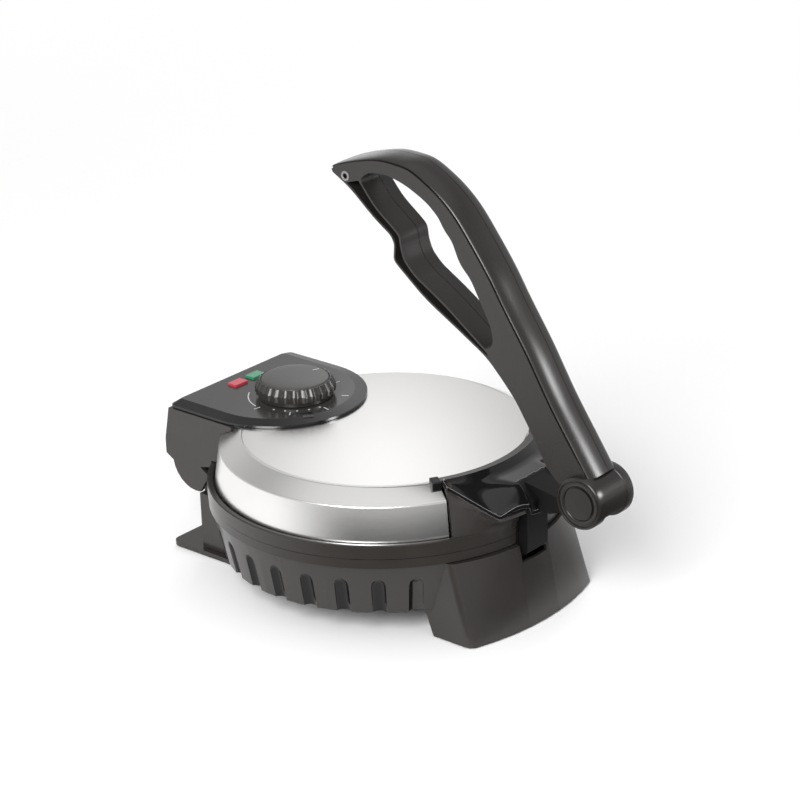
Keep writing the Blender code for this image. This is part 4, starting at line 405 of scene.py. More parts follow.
def floor_material():
    made, nodes, links, shader = new_material("studio_floor")
    cloud = add_noise(nodes, links, FLOOR_CLOUD_SCALE)
    tint(nodes, links, cloud, FLOOR_COLOR, FLOOR_COLOR, shader.inputs["Base Color"])
    shader.inputs["Roughness"].default_value = FLOOR_ROUGHNESS
    shader.inputs["Specular IOR Level"].default_value = FLOOR_SPECULAR
    place = nodes.new("ShaderNodeTexCoord")
    far = nodes.new("ShaderNodeVectorMath")
    far.operation = "LENGTH"
    links.new(place.outputs["Object"], far.inputs[0])
    fade = nodes.new("ShaderNodeMapRange")
    fade.interpolation_type = "SMOOTHSTEP"
    fade.inputs["From Min"].default_value = FLOOR_FADE[0]
    fade.inputs["From Max"].default_value = FLOOR_FADE[1]
    links.new(far.outputs["Value"], fade.inputs["Value"])
    white = nodes.new("ShaderNodeEmission")
    blend = nodes.new("ShaderNodeMixShader")
    links.new(fade.outputs["Result"], blend.inputs["Fac"])
    links.new(shader.outputs["BSDF"], blend.inputs[1])
    links.new(white.outputs["Emission"], blend.inputs[2])
    links.new(blend.outputs["Shader"], nodes["Material Output"].inputs["Surface"])
    return made


# Every finish: its colour and roughness, then what differs from the usual grain and gloss
CASE = moulded("case_plastic", (0.0265, 0.0235, 0.0215), 0.24)
GLOSS = moulded("glossy_black", (0.0070, 0.0068, 0.0070), 0.10, grain=0.02, spread=0.02)
HANDLE = moulded("handle_plastic", (0.0175, 0.0154, 0.0142), 0.26)
# Painted shade: near black on the tongue under the handle and on the slot prism before the knob
SHADE = moulded("painted_shade_black", (0.0040, 0.0038, 0.0037), 0.50, specular=0.25)
# Painted highlight: a light grey on the tray's rounded edges and on the tip boss, standing for highlights
PAINTED_HIGHLIGHT = moulded("painted_edge_highlight", (0.20, 0.195, 0.195), 0.12)
# Painted shade: near black in the skirt's flutes, darker than the case, where shade falls in them
FLUTE_SHADE = moulded(
    "flute_shade_black", (0.0040, 0.0038, 0.0037), 0.14, grain=0.02, spread=0.02, specular=0.35,
)
PANEL = moulded("panel_plastic", (0.040, 0.038, 0.037), 0.20)
KNOB = moulded("knob_plastic", (0.052, 0.050, 0.048), 0.24)
STEEL = metal(
    "lid_steel", (0.84, 0.832, 0.82), 0.24, streak=(1.0, 1.0, 9.0), strength=0.003, brushed=0.45,
)
PLATE = moulded("nonstick_coating", (0.030, 0.030, 0.032), 0.45, grain=0.35)
ELEMENT = metal("element_sheath", (0.30, 0.28, 0.26), 0.45)
SHEET = metal("sheet_metal", (0.62, 0.62, 0.62), 0.35)
SCREW = metal("screw_steel", (0.58, 0.57, 0.56), 0.30)
RUBBER = moulded("rubber", (0.018, 0.018, 0.018), 0.75, grain=0.4)
CERAMIC = moulded("ceramic", (0.72, 0.70, 0.65), 0.55)
WOOL = moulded("glass_wool", (0.80, 0.77, 0.66), 0.95, grain=0.8)
RED = lens("red_lens", (0.60, 0.055, 0.085))
GREEN = lens("green_lens", (0.045, 0.30, 0.16))
WHITE = moulded("white_print", (0.62, 0.62, 0.61), 0.5)

FINISHES = {
    "case_black": CASE, "handle_black": HANDLE, "panel_grey": PANEL, "brushed_steel": STEEL,
    "nonstick_plate": PLATE, "element_sheath": ELEMENT, "sheet_metal": SHEET, "rubber": RUBBER,
    "screw_steel": SCREW, "ceramic": CERAMIC, "glass_wool": WOOL, "red_lens": RED, "green_lens": GREEN,
}
SLOTS = {item["node"]: item["material_slot"] for item in frame["record"]["subparts"]}
BODIES = {node: body for body, group in frame["record"]["behaviour"]["bodies"].items() for node in group}


# Smoothing and rounding: angles in degrees, distances that merge vertices
CREASE = 38.0
FLAT_ANGLE = 0.6
MERGE_DISTANCE = 0.00001
WELD_DISTANCE = 0.000001
SHADING_WEIGHT = 70


def repaint(made, material):
    made.data.materials.clear()
    made.data.materials.append(material)


def finish_cad_nodes():
    for name, node in NODES.items():
        repaint(node, FINISHES[SLOTS[name]])


def piece(mesh, name, body, material):
    made = bpy.data.objects.new(name, mesh)
    SCENE.collection.objects.link(made)
    repaint(made, material)
    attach(made, body)
    return made


def smooth(mesh, angle=CREASE):
    """Smooth shading, with edges sharper than the angle kept sharp."""
    mesh.shade_smooth()
    mesh.set_sharp_from_angle(angle=math.radians(angle))


def even_shading(made):
    """Let large faces lead the shading, so curved walls stay smooth and flat ones flat."""
    weigh = made.modifiers.new("shading", "WEIGHTED_NORMAL")
    weigh.keep_sharp = True
    weigh.weight = SHADING_WEIGHT


def add_bevel(made, width, segments=3, angle=CREASE):
    """Round the edges that are sharper than the angle."""
    bevel = made.modifiers.new("rounding", "BEVEL")
    bevel.width = width
    bevel.segments = segments
    bevel.limit_method = "ANGLE"
    bevel.angle_limit = math.radians(angle)
    bevel.use_clamp_overlap = True
    even_shading(made)


def softened(node, name, width, segments=2, material=None, crease=CREASE):
    """A finer copy of a node with its edges rounded, which stands for the node."""
    shape = bmesh.new()
    shape.from_mesh(NODES[node].data)
    bmesh.ops.remove_doubles(shape, verts=shape.verts, dist=MERGE_DISTANCE)
    bmesh.ops.dissolve_limit(
        shape, angle_limit=math.radians(FLAT_ANGLE), verts=shape.verts, edges=shape.edges,
        delimit={"NORMAL"},
    )
    mesh = finished_mesh(shape, name)
    smooth(mesh, crease)
    slot_name = SLOTS[node]
    made = piece(mesh, name, BODIES[node], material or FINISHES[slot_name])
    add_bevel(made, width, segments, crease)
    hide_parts(node)
    return made


def second_finish(made, material, chosen):
    """Give the faces that chosen picks, from their centre and normal, another finish."""
    made.data.materials.append(material)
    for face in made.data.polygons:
        if chosen(face.center, face.normal):
            face.material_index = 1


def paint_edge_highlight(made, material):
    """Give the faces that the bevel makes a light material of their own: a painted highlight along the
    edges.
    """
    made.data.materials.append(material)
    for modifier in made.modifiers:
        if modifier.type == "BEVEL":
            modifier.material = len(made.data.materials) - 1


# Where the case and the lid ring get painted shade, and the panel's rim a second, glossier finish
SKIRT_RADII = (0.1148, 0.1225)
SKIRT_HEIGHTS = (0.0209, 0.0605)
FLUTE_DIP = 0.0004
FLUTE_REACH = 0.0050
FLUTE_TOP = 0.0500
FLUTE_OUTWARD = 0.05
FLUTE_SIDE = 0.075
TONGUE_BACK_Y = -0.1262
TONGUE_FLOOR = 0.0450
TONGUE_HALF_WIDTH = 0.0165
PANEL_LEVEL = 0.985
PANEL_RIM_FLOOR = 0.1000


def shaded_flute_faces(centre, normal):
    """Faces sunk into the skirt's wall at the two sides, that look outwards; they get painted shade."""
    across, ahead = centre.x, centre.y - PLATE_Y
    share = (centre.z - SKIRT_HEIGHTS[0]) / (SKIRT_HEIGHTS[1] - SKIRT_HEIGHTS[0])
    wall = SKIRT_RADII[0] + (SKIRT_RADII[1] - SKIRT_RADII[0]) * share
    dip = wall - math.hypot(across, ahead)
    outward = (normal.x * across + normal.y * ahead) / math.hypot(across, ahead)
    at_side = abs(across) > FLUTE_SIDE and 0.0 < centre.z < FLUTE_TOP
    return at_side and FLUTE_DIP < dip < FLUTE_REACH and outward > FLUTE_OUTWARD


# The tongue's faces under the handle, which get painted shade.
def shaded_tongue_faces(centre, normal):
    in_front = centre.y - PLATE_Y < TONGUE_BACK_Y
    return in_front and centre.z > TONGUE_FLOOR and abs(centre.x) < TONGUE_HALF_WIDTH


def on_panel_rim(centre, normal):
    return centre.z > PANEL_RIM_FLOOR and normal.z < PANEL_LEVEL


# Steel cover of the lid, turned with rounded shoulders and a fine groove round its flat top. Points are
# radius and height; the groove's are radius and depth
STEEL_STEPS = 240
STEEL_SHEET = 0.001
STEEL_TOP = (0.1004, 0.1055)
STEEL_SHOULDER = (0.1150, 0.0975)
STEEL_HEM = (0.1192, 0.0708)
STEEL_CREASE = 25.0
SHOULDER_ROUND = 0.0010
GROOVE = ((0.0979, 0.0), (0.0984, 0.0003), (0.0987, 0.0003), (0.0992, 0.0))
STEEL_CUT_ANGLE = math.radians(29.2)
STEEL_CUT_RADIUS = 0.1028
STEEL_CUT_STEPS = 16
CUT_FLOOR = 0.06
CUT_TOP = 0.12
WELL = ((-0.030, 0.060), (0.030, 0.112))
WELL_FLOOR = 0.09
AXIS_GAP = 0.0001
BEND_STEPS = 5


def bend(corner, back, ahead):
    """Points of a smooth bend at a corner, from a reach back to a reach ahead."""
    shares = [i / BEND_STEPS for i in range(BEND_STEPS + 1)]
    return [tuple(corner + back * (1 - t) ** 2 + ahead * t ** 2) for t in shares]


def rounded(points, reach):
    """A profile with a smooth bend in place of each inner corner."""
    result = [points[0]]
    for before, corner, after in zip(points, points[1:], points[2:]):
        corner = Vector(corner)
        back = (Vector(before) - corner).normalized() * reach
        ahead = (Vector(after) - corner).normalized() * reach
        result += bend(corner, back, ahead)
    result.append(points[-1])
    return result


def band(shape, first, second):
    """A band of faces between two rings of vertices."""
    count = len(first)
    for i in range(count):
        j = (i + 1) % count
        shape.faces.new((first[i], first[j], second[j], second[i]))


def turned(profile, steps):
    """Turn a closed profile of (radius, height) about the vertical axis of the plates."""
    shape = bmesh.new()
    count = len(profile)
    rings = []
    for i in range(steps):
        angle = 2 * math.pi * i / steps
        rings.append([
            shape.verts.new((radius * math.cos(angle), radius * math.sin(angle) + PLATE_Y, height))
            for radius, height in profile
        ])
    for ring, after in zip(rings, rings[1:] + rings[:1]):
        for j in range(count):
            k = (j + 1) % count
            shape.faces.new((ring[j], after[j], after[k], ring[k]))
    bmesh.ops.remove_doubles(shape, verts=shape.verts, dist=WELD_DISTANCE)
    return finished_mesh(shape, "turned", closed=True)


def prism(outline, low, high):
    """A closed upright prism over a flat outline."""
    shape = bmesh.new()
    bottom = [shape.verts.new((x, y, low)) for x, y in outline]
    top = [shape.verts.new((x, y, high)) for x, y in outline]
    shape.faces.new(bottom[::-1])
    shape.faces.new(top)
    band(shape, bottom, top)
    return finished_mesh(shape, "prism", closed=True)


def subtract(made, *tool_meshes):
    """Cut the tools out of a piece and keep the result as its mesh."""
    for mesh in tool_meshes:
        tool = bpy.data.objects.new("tool", mesh)
        SCENE.collection.objects.link(tool)
        step = made.modifiers.new("cut", "BOOLEAN")
        step.operation = "DIFFERENCE"
        step.object = tool
        bpy.context.view_layer.update()
        graph = bpy.context.evaluated_depsgraph_get()
        made.data = bpy.data.meshes.new_from_object(made.evaluated_get(graph))
        made.modifiers.clear()
        bpy.data.objects.remove(tool, do_unlink=True)
    return made


def front_polar(radius, angle):
    """A point at an angle from the front of the lid, positive towards +X."""
    return (radius * math.sin(angle), PLATE_Y - radius * math.cos(angle))


def steel_cover():
    """The lid's bright cover, cut out for the bracket in front and under the control housing."""
    top, lowest_flat = STEEL_TOP[1], STEEL_SHOULDER[1] - SHOULDER_ROUND
    outer = rounded([(0.0, top), STEEL_TOP, STEEL_SHOULDER, STEEL_HEM], SHOULDER_ROUND)
    outer = outer[:1] + [(radius, top - dip) for radius, dip in GROOVE] + outer[1:]
    inner = [(r - STEEL_SHEET, z - STEEL_SHEET if z > lowest_flat else z) for r, z in outer]
    profile = [(max(r, AXIS_GAP), z) for r, z in outer + inner[::-1]]
    made = bpy.data.objects.new("steel_cover", turned(profile, STEEL_STEPS))
    SCENE.collection.objects.link(made)
    cut_angles = [STEEL_CUT_ANGLE * (2 * i / STEEL_CUT_STEPS - 1) for i in range(STEEL_CUT_STEPS + 1)]
    wedge = [front_polar(STEEL_CUT_RADIUS, a) for a in cut_angles]
    wedge += [front_polar(2 * STEEL_HEM[0], side * STEEL_CUT_ANGLE) for side in (1, -1)]
    (low_x, low_y), (high_x, high_y) = WELL
    low_y, high_y = low_y + PLATE_Y, high_y + PLATE_Y
    well = [(low_x, low_y), (high_x, low_y), (high_x, high_y), (low_x, high_y)]
    subtract(made, prism(wedge, CUT_FLOOR, CUT_TOP), prism(well, WELL_FLOOR, CUT_TOP))
    smooth(made.data, STEEL_CREASE)
    repaint(made, STEEL)
    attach(made, "lid")
    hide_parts("lid_cover")


# Handle: smooth outlines in the YZ plane, as shares of its reach and rise from the pivot
PIVOT = (-0.15675, 0.1030)
HANDLE_REACH = 0.207
HANDLE_RISE = 0.199
BACK_SHARES = (
    (0.0386, 0.1658), (0.1304, 0.3065), (0.2174, 0.4573), (0.3043, 0.5930), (0.3623, 0.6884),
    (0.4300, 0.7839), (0.4928, 0.8643), (0.5459, 0.9146), (0.6039, 0.9548), (0.6715, 0.9899),
    (0.7343, 1.0000), (0.8068, 1.0000), (0.8986, 0.9799), (0.9758, 0.9548),
)
BELLY_SHARES = (
    (1.0000, 0.9372), (0.9952, 0.9271), (0.9227, 0.8844), (0.8309, 0.8040), (0.7585, 0.7538),
    (0.7440, 0.7286), (0.7488, 0.6683), (0.7198, 0.6432), (0.6232, 0.5628), (0.4783, 0.4774),
    (0.3720, 0.4121), (0.3092, 0.3467), (0.2609, 0.2915), (0.2077, 0.2060), (0.1691, 0.1407),
    (0.1353, 0.0754), (0.0773, 0.0302),
)
LOOP_SHARES = (
    (0.8816, 0.9221), (0.8478, 0.9523), (0.7754, 0.9623), (0.6932, 0.9422), (0.6304, 0.9121),
    (0.5966, 0.8920), (0.5580, 0.8568), (0.5338, 0.8166), (0.5048, 0.7864), (0.4758, 0.7161),
    (0.4324, 0.6709), (0.4082, 0.6256), (0.3551, 0.5251), (0.3454, 0.4698), (0.3696, 0.4347),
    (0.5242, 0.5503), (0.5773, 0.5854), (0.6594, 0.6357), (0.6981, 0.6759), (0.7126, 0.7161),
    (0.7174, 0.7613), (0.7464, 0.7864), (0.8188, 0.8417),
)
CROWN_FOOT_SHARE = (-0.0200, 0.0760)
CROWN_TIP_POINT_SHARE = (1.0000, 0.9400)
# The left face's pocket follows these runs of the belly's and the loop's points
POCKET_BELLY = (1, 10)
POCKET_LOOP = (14, 22)
POCKET_START = 0.75
POCKET_RIM = 0.0014
TIP_SCREW_SHARE = (0.9420, 0.9230)
ARM_SCREW_SHARES = ((0.1350, 0.2150), (0.3330, 0.4500))
SCREW_WELL_RADIUS = 0.0032
SCREW_WELL_DEPTH = 0.0030
BOSS_RADII = (0.0019, 0.0034)
BOSS_RISE = 0.0005
BOSS_DEPTH = 0.0060
SPLINE_STEPS = 5
CORNER_SHARE = 0.42
HANDLE_HALF_WIDTH = 0.014
HANDLE_EDGE = 0.0009
SEAM_X = 0.004
SEAM_GAP = 0.00025
CROWN_HEIGHT = 0.0050
CROWN_GROOVE = 0.0007
CROWN_OVERHANG = 0.0014
CROWN_TIP_SHARE = 0.25
CROWN_FALL = 0.55
CROWN_COLUMNS = 9
POCKET_DEPTH = 0.010
HUB_BORE = 0.0153
HUB_RADIUS = 0.018
HUB_HALF_WIDTH = 0.0185
HUB_EDGE = 0.0004
HUB_SEAT = 0.0078
HUB_ARC = (-20.0, -190.0)
WEB_HALF_WIDTH = 0.0105
SHELL_RADIUS = 0.0176
SHELL_ANGLES = (math.radians(31.0), math.radians(208.0))
# The hub's outer face with its ring groove, from the rim inwards: radius and depth below the face
HUB_FACE = (
    (0.0180, 0.0012), (0.0176, 0.0004), (0.0168, 0.0), (0.0166, 0.0), (0.0161, 0.0003),
    (0.0158, 0.0012), (0.0152, 0.0013), (0.0148, 0.0008), (0.0125, 0.0006), (0.0119, 0.0010),
    (0.0117, 0.0016), (0.0078, 0.0016),
)
# Steps round each circle or arc, and the sharpest edges, in degrees, that are smoothed
TIP_STEPS = 20
WELL_STEPS = 24
BOSS_STEPS = 36
SHELL_STEPS = 48
HUB_STEPS = 96
HUB_ARC_STEPS = 10
HANDLE_CREASE = 30.0
HUB_CREASE = 40.0
BOSS_CREASE = 50.0


def handle_places(shares):
    return [(PIVOT[0] + y * HANDLE_REACH, PIVOT[1] + z * HANDLE_RISE) for y, z in shares]


def spline(points):
    """A smooth curve through the points (Catmull-Rom), with even steps between each pair."""
    points = [Vector(point) for point in points]
    last = len(points) - 1
    result = []
    for i in range(last):
        a, b, c, d = (points[min(max(i + k, 0), last)] for k in (-1, 0, 1, 2))
        curve = 2 * a - 5 * b + 4 * c - d
        twist = 3 * b - a - 3 * c + d
        for k in range(SPLINE_STEPS):
            t = k / SPLINE_STEPS
            place = 2 * b + (c - a) * t + curve * t ** 2 + twist * t ** 3
            result.append(tuple(place / 2))
    result.append(tuple(points[-1]))
    return result


def cap(shape, loops):
    """Fill a flat region between closed loops of vertices."""
    edges = []
    for verts in loops:
        edges += [shape.edges.new(pair) for pair in zip(verts, verts[1:] + verts[:1])]
    bmesh.ops.triangle_fill(shape, edges=edges, use_beauty=True)


def soft_corners(points, closed=False):
    """A polygon with every corner drawn as a short smooth bend."""
    points = [Vector(point) for point in points]
    size = len(points)
    result = []
    for i, corner in enumerate(points):
        if not closed and i in (0, size - 1):
            result.append(tuple(corner))
            continue
        before, after = points[i - 1], points[(i + 1) % size]
        reach = CORNER_SHARE * min((before - corner).length, (after - corner).length)
        back = (before - corner).normalized() * reach
        ahead = (after - corner).normalized() * reach
        result += bend(corner, back, ahead)
    return result


def moved_aside(points, distance):
    """An open path shifted to its left."""
    result = []
    for i, point in enumerate(points):
        run = Vector(points[min(i + 1, len(points) - 1)]) - Vector(points[max(i - 1, 0)])
        run.normalize()
        result.append(tuple(Vector(point) + Vector((-run.y, run.x)) * distance))
    return result


def side_slab(name, low_x, high_x, outline, holes=(), pockets=()):
    """A closed slab between two X values over an outline in the YZ plane.

    Holes go through it; each pocket is a loop and the X value of its floor, open at low_x.
    """
    shape = bmesh.new()

    def ring(loop, x):
        return [shape.verts.new((x, y, z)) for y, z in loop]

    low = [ring(loop, low_x) for loop in (outline, *holes)]
    high = [ring(loop, high_x) for loop in (outline, *holes)]
    mouths = [ring(loop, low_x) for loop, _ in pockets]
    floors = [ring(loop, x) for loop, x in pockets]
    cap(shape, low + mouths)
    cap(shape, high)
    for floor in floors:
        cap(shape, [floor])
    for first, second in zip(low + mouths, high + floors):
        band(shape, first, second)
    return finished_mesh(shape, name, closed=True)


def swept_strip(name, sections):
    """Skin a row of closed sections and cap both ends."""
    shape = bmesh.new()
    rings = [[shape.verts.new(point) for point in section] for section in sections]
    for ring, after in zip(rings, rings[1:]):
        band(shape, ring, after)
    shape.faces.new(rings[0][::-1])
    shape.faces.new(rings[-1])
    return finished_mesh(shape, name, closed=True)


def turned_across(name, profile, steps, centre):
    """Turn a closed profile of (radius, x) about a line along X."""
    shape = bmesh.new()
    rings = []
    for i in range(steps):
        angle = 2 * math.pi * i / steps
        rings.append([
            shape.verts.new((x, centre[0] + radius * math.cos(angle), centre[1] + radius * math.sin(angle)))
            for radius, x in profile
        ])
    for ring, after in zip(rings, rings[1:] + rings[:1]):
        band(shape, ring, after)
    bmesh.ops.remove_doubles(shape, verts=shape.verts, dist=WELD_DISTANCE)
    return finished_mesh(shape, name, closed=True)


def crown_strip(name, side):
    """The rounded back of one half, standing over a groove along the side face."""
    back = spline(handle_places((CROWN_FOOT_SHARE, *BACK_SHARES, CROWN_TIP_POINT_SHARE)))
    outer = side * (HANDLE_HALF_WIDTH - SEAM_GAP)
    seam = SEAM_X + side * SEAM_GAP
    sections = []
    for i, point in enumerate(back):
        before, after = Vector(back[max(i - 1, 0)]), Vector(back[min(i + 1, len(back) - 1)])
        run = (after - before).normalized()
        normal = Vector((-run.y, run.x))
        share = i / (len(back) - 1)
        height = CROWN_HEIGHT * (1 - (1 - CROWN_TIP_SHARE) * ease((share - CROWN_FALL) / (1 - CROWN_FALL)))
        section = []
        for k in range(CROWN_COLUMNS + 1):
            x = outer + (seam - outer) * (1 - math.cos(math.pi / 2 * k / CROWN_COLUMNS))
            arch = max(0.0, 1 - (x / HANDLE_HALF_WIDTH) ** 2) ** 0.5
            section.append((x, CROWN_GROOVE + (height - CROWN_GROOVE) * arch))
        inner = outer - side * CROWN_OVERHANG
        section += [(seam, -CROWN_GROOVE), (inner, -CROWN_GROOVE), (inner, CROWN_GROOVE)]
        sections.append([(x, *(Vector(point) + normal * rise)) for x, rise in section])
    return swept_strip(name, sections)


def handle_piece(mesh, name, angle=HANDLE_CREASE):
    made = piece(mesh, name, "handle", HANDLE)
    smooth(made.data, angle)
    return made


def points_round(centre, radius, angles):
    return [(centre[0] + radius * math.cos(a), centre[1] + radius * math.sin(a)) for a in angles]


def circle_points(centre, radius, count):
    return points_round(centre, radius, [2 * math.pi * i / count for i in range(count)])


def tip_boss():
    """The ring round the screw hole at the handle's tip, painted a light grey as a painted highlight."""
    inner, outer = BOSS_RADII
    face, half = -HANDLE_HALF_WIDTH, BOSS_RISE / 2
    profile = [
        (inner, face + BOSS_RISE), (inner, face - half), (inner + half, face - BOSS_RISE),
        (outer - half, face - BOSS_RISE), (outer, face - half), (outer, face + BOSS_RISE),
    ]
    made = turned_across("tip_boss", profile, BOSS_STEPS, handle_places([TIP_SCREW_SHARE])[0])
    repaint(handle_piece(made, "tip_boss", BOSS_CREASE), PAINTED_HIGHLIGHT)


def hub_ring(side, name):
    """The round end of one half at the pivot, from the web to its grooved face."""
    face, web, web_edge = (side * x for x in (HUB_HALF_WIDTH, WEB_HALF_WIDTH, WEB_HALF_WIDTH + HUB_EDGE))
    profile = [(HUB_SEAT, web), (HUB_RADIUS - HUB_EDGE, web), (HUB_RADIUS, web_edge)]
    profile += [(radius, face - side * depth) for radius, depth in HUB_FACE]
    handle_piece(turned_across(name, profile, HUB_STEPS, PIVOT), name, HUB_CREASE)


def handle_halves():
    """Both halves with their backs and hubs, and the shell that joins the hubs."""
    hub_angles = [math.radians(a) for a in steps_between(*HUB_ARC, HUB_ARC_STEPS)]
    hub = points_round(PIVOT, HUB_BORE, hub_angles)
    belly = handle_places(BELLY_SHARES)
    outline = spline(handle_places(BACK_SHARES)) + soft_corners(belly) + hub
    loop = handle_places(LOOP_SHARES)
    low, high = POCKET_BELLY
    start = Vector(belly[low]).lerp(Vector(belly[low + 1]), POCKET_START)
    pocket = moved_aside(soft_corners([tuple(start)] + belly[low + 1:high + 1]), -POCKET_RIM)
    low, high = POCKET_LOOP
    pocket += moved_aside(soft_corners(loop[low:high + 1] + loop[:1]), -POCKET_RIM)
    loop = soft_corners(loop, closed=True)
    for side, node, name in ((-1, "handle_left", "grip_left"), (1, "handle_right", "grip_right")):
        face_x = side * HANDLE_HALF_WIDTH
        if side < 0:
            tip = circle_points(handle_places([TIP_SCREW_SHARE])[0], BOSS_RADII[0], TIP_STEPS)
            pockets = [(pocket, face_x + POCKET_DEPTH), (tip, face_x + BOSS_DEPTH)]
        else:
            places = handle_places(ARM_SCREW_SHARES)
            wells = [circle_points(place, SCREW_WELL_RADIUS, WELL_STEPS) for place in places]
            pockets = [(well, face_x - SCREW_WELL_DEPTH) for well in wells]
        seam_x = SEAM_X + side * SEAM_GAP
        slab = handle_piece(side_slab(name, face_x, seam_x, outline, [loop], pockets), name)
        add_bevel(slab, HANDLE_EDGE)
        handle_piece(crown_strip(f"{name}_back", side), f"{name}_back")
        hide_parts(node)
        hub_ring(side, f"hub_{name}")
    angles = steps_between(*SHELL_ANGLES, SHELL_STEPS)
    shell = points_round(PIVOT, SHELL_RADIUS, angles) + points_round(PIVOT, HUB_BORE, angles[::-1])
    handle_piece(side_slab("hub_shell", -WEB_HALF_WIDTH, WEB_HALF_WIDTH, shell), "hub_shell")


# Front bracket of the lid: glossy tray between its rims, and the blocks that end its collar. Angles are
# from the front of the lid; TRAY_TOP and LIP are radius and height
BRACKET_ANGLE = math.radians(28.4)
LIP_ANGLE = math.radians(16.5)
TRAY_TOP = (0.1054, 0.1063)
LIP = (0.1370, 0.0865)
BRACKET_CORNER = (0.053, -0.100, 0.1045)
LIP_BULGE = 0.0050
RAMP_SLOPE = 0.627
HILL_TOP = 0.10345
HILL_HALF_WIDTH = 0.0158
HILL_BLEND = 0.026
HILL_FRONT = 0.018
KNEE_Y = -0.1270
LIP_THICKNESS = 0.0028
TRAY_TURNS = 88
TRAY_RUNS = 30
TRAY_RIM_WIDTH = 0.0024
TRAY_RIM_RISE = 0.0011
TRAY_LIFT = 0.0005
TRAY_FILLET = 0.0020
TRAY_FILLET_REACH = 3.2
TRAY_SHEET = 0.0015
TRAY_EDGE = 0.0007
TRAY_CREASE = 45.0
BLOCK_ANGLES = (math.radians(29.0), math.radians(32.6))
BLOCK_RADII = (0.0992, 0.1072)
BLOCK_HEIGHTS = (0.1040, 0.1091)
BLOCK_FALLS = (0.002, 0.001)
BLOCK_STEPS = 3
BLOCK_EDGE = 0.0007


def lip_point(angle):
    """Radius and height of the bracket's outer edge at an angle from the front."""
    turn = abs(angle)
    if turn <= LIP_ANGLE:
        reach = LIP_BULGE * (1 - turn / LIP_ANGLE)
        return LIP[0] + reach, LIP[1] - reach * RAMP_SLOPE
    lip_x, lip_y = LIP[0] * math.sin(LIP_ANGLE), -LIP[0] * math.cos(LIP_ANGLE)
    run_x, run_y = BRACKET_CORNER[0] - lip_x, BRACKET_CORNER[1] - lip_y
    slope = math.tan(turn)
    reach = (-lip_y * slope - lip_x) / (run_x + run_y * slope)
    radius = math.hypot(lip_x + run_x * reach, lip_y + run_y * reach)
    return radius, LIP[1] + (BRACKET_CORNER[2] - LIP[1]) * reach


def hill_rise(across, ahead, height):
    """How far the ramp swells up to meet the tongue's flat top, and down again in front of it."""
    hill = ease(1 - (across - HILL_HALF_WIDTH) / HILL_BLEND)
    hill *= ease(1 - (KNEE_Y - ahead) / HILL_FRONT)
    top = HILL_TOP
    if across < HILL_HALF_WIDTH and ahead < KNEE_Y:
        top = 0.0
    return max(0.0, top - height) * hill


def bracket_tray():
    """The glossy ramp: a shallow tray with a raised rim and a steep start under the collar."""
    shape = bmesh.new()
    rows = []
    for angle in steps_between(-BRACKET_ANGLE, BRACKET_ANGLE, TRAY_TURNS):
        end_radius, end_height = lip_point(angle)
        length = math.hypot(end_radius - TRAY_TOP[0], end_height - TRAY_TOP[1])
        row = []
        for run in steps_between(0.0, 1.0, TRAY_RUNS):
            radius = TRAY_TOP[0] + (end_radius - TRAY_TOP[0]) * run
            height = TRAY_TOP[1] + (end_height - TRAY_TOP[1]) * run
            to_lip = (1 - run) * length
            to_side = (BRACKET_ANGLE - abs(angle)) * radius
            rim = 1 - ease(min(to_lip, to_side) / TRAY_RIM_WIDTH)
            fillet = TRAY_FILLET * max(0.0, 1 - run * TRAY_FILLET_REACH) ** 2
            rise = TRAY_LIFT + TRAY_RIM_RISE * rim + fillet
            sheet = TRAY_SHEET + (LIP_THICKNESS - TRAY_SHEET) * (1 - ease(to_lip / TRAY_RIM_WIDTH))
            rise += hill_rise(radius * math.sin(abs(angle)), -radius * math.cos(angle), height)
            row.append((*front_polar(radius, angle), height + rise, sheet))
        rows.append(row)
    upper = [[shape.verts.new((x, y, z)) for x, y, z, _ in row] for row in rows]
    lower = [[shape.verts.new((x, y, z - sheet)) for x, y, z, sheet in row] for row in rows]
    for sheet in (upper, lower):
        for row, after in zip(sheet, sheet[1:]):
            for i in range(len(row) - 1):
                shape.faces.new((row[i], row[i + 1], after[i + 1], after[i]))
    for first, second in ((upper[0], lower[0]), (upper[-1], lower[-1])):
        for i in range(len(first) - 1):
            shape.faces.new((first[i], first[i + 1], second[i + 1], second[i]))
    for end in (0, -1):
        for i in range(len(upper) - 1):
            shape.faces.new((upper[i][end], upper[i + 1][end], lower[i + 1][end], lower[i][end]))
    mesh = finished_mesh(shape, "bracket_tray", closed=True)
    made = piece(mesh, "bracket_tray", "lid", GLOSS)
    smooth(made.data, TRAY_CREASE)
    add_bevel(made, TRAY_EDGE)
    # The bevel's faces along the rim and the lip get a painted highlight.
    paint_edge_highlight(made, PAINTED_HIGHLIGHT)


def collar_blocks():
    """Small blocks that end the collar, lower at their outer side."""
    (near, far), (low, high), (low_fall, high_fall) = BLOCK_RADII, BLOCK_HEIGHTS, BLOCK_FALLS
    section = ((near, low), (far, low - low_fall), (far, high - high_fall), (near, high))
    for side, name in ((-1, "collar_block_left"), (1, "collar_block_right")):
        sections = [
            [(*front_polar(radius, side * angle), height) for radius, height in section]
            for angle in steps_between(*BLOCK_ANGLES, BLOCK_STEPS)
        ]
        made = piece(swept_strip(name, sections), name, "lid", GLOSS)
        smooth(made.data)
        add_bevel(made, BLOCK_EDGE)


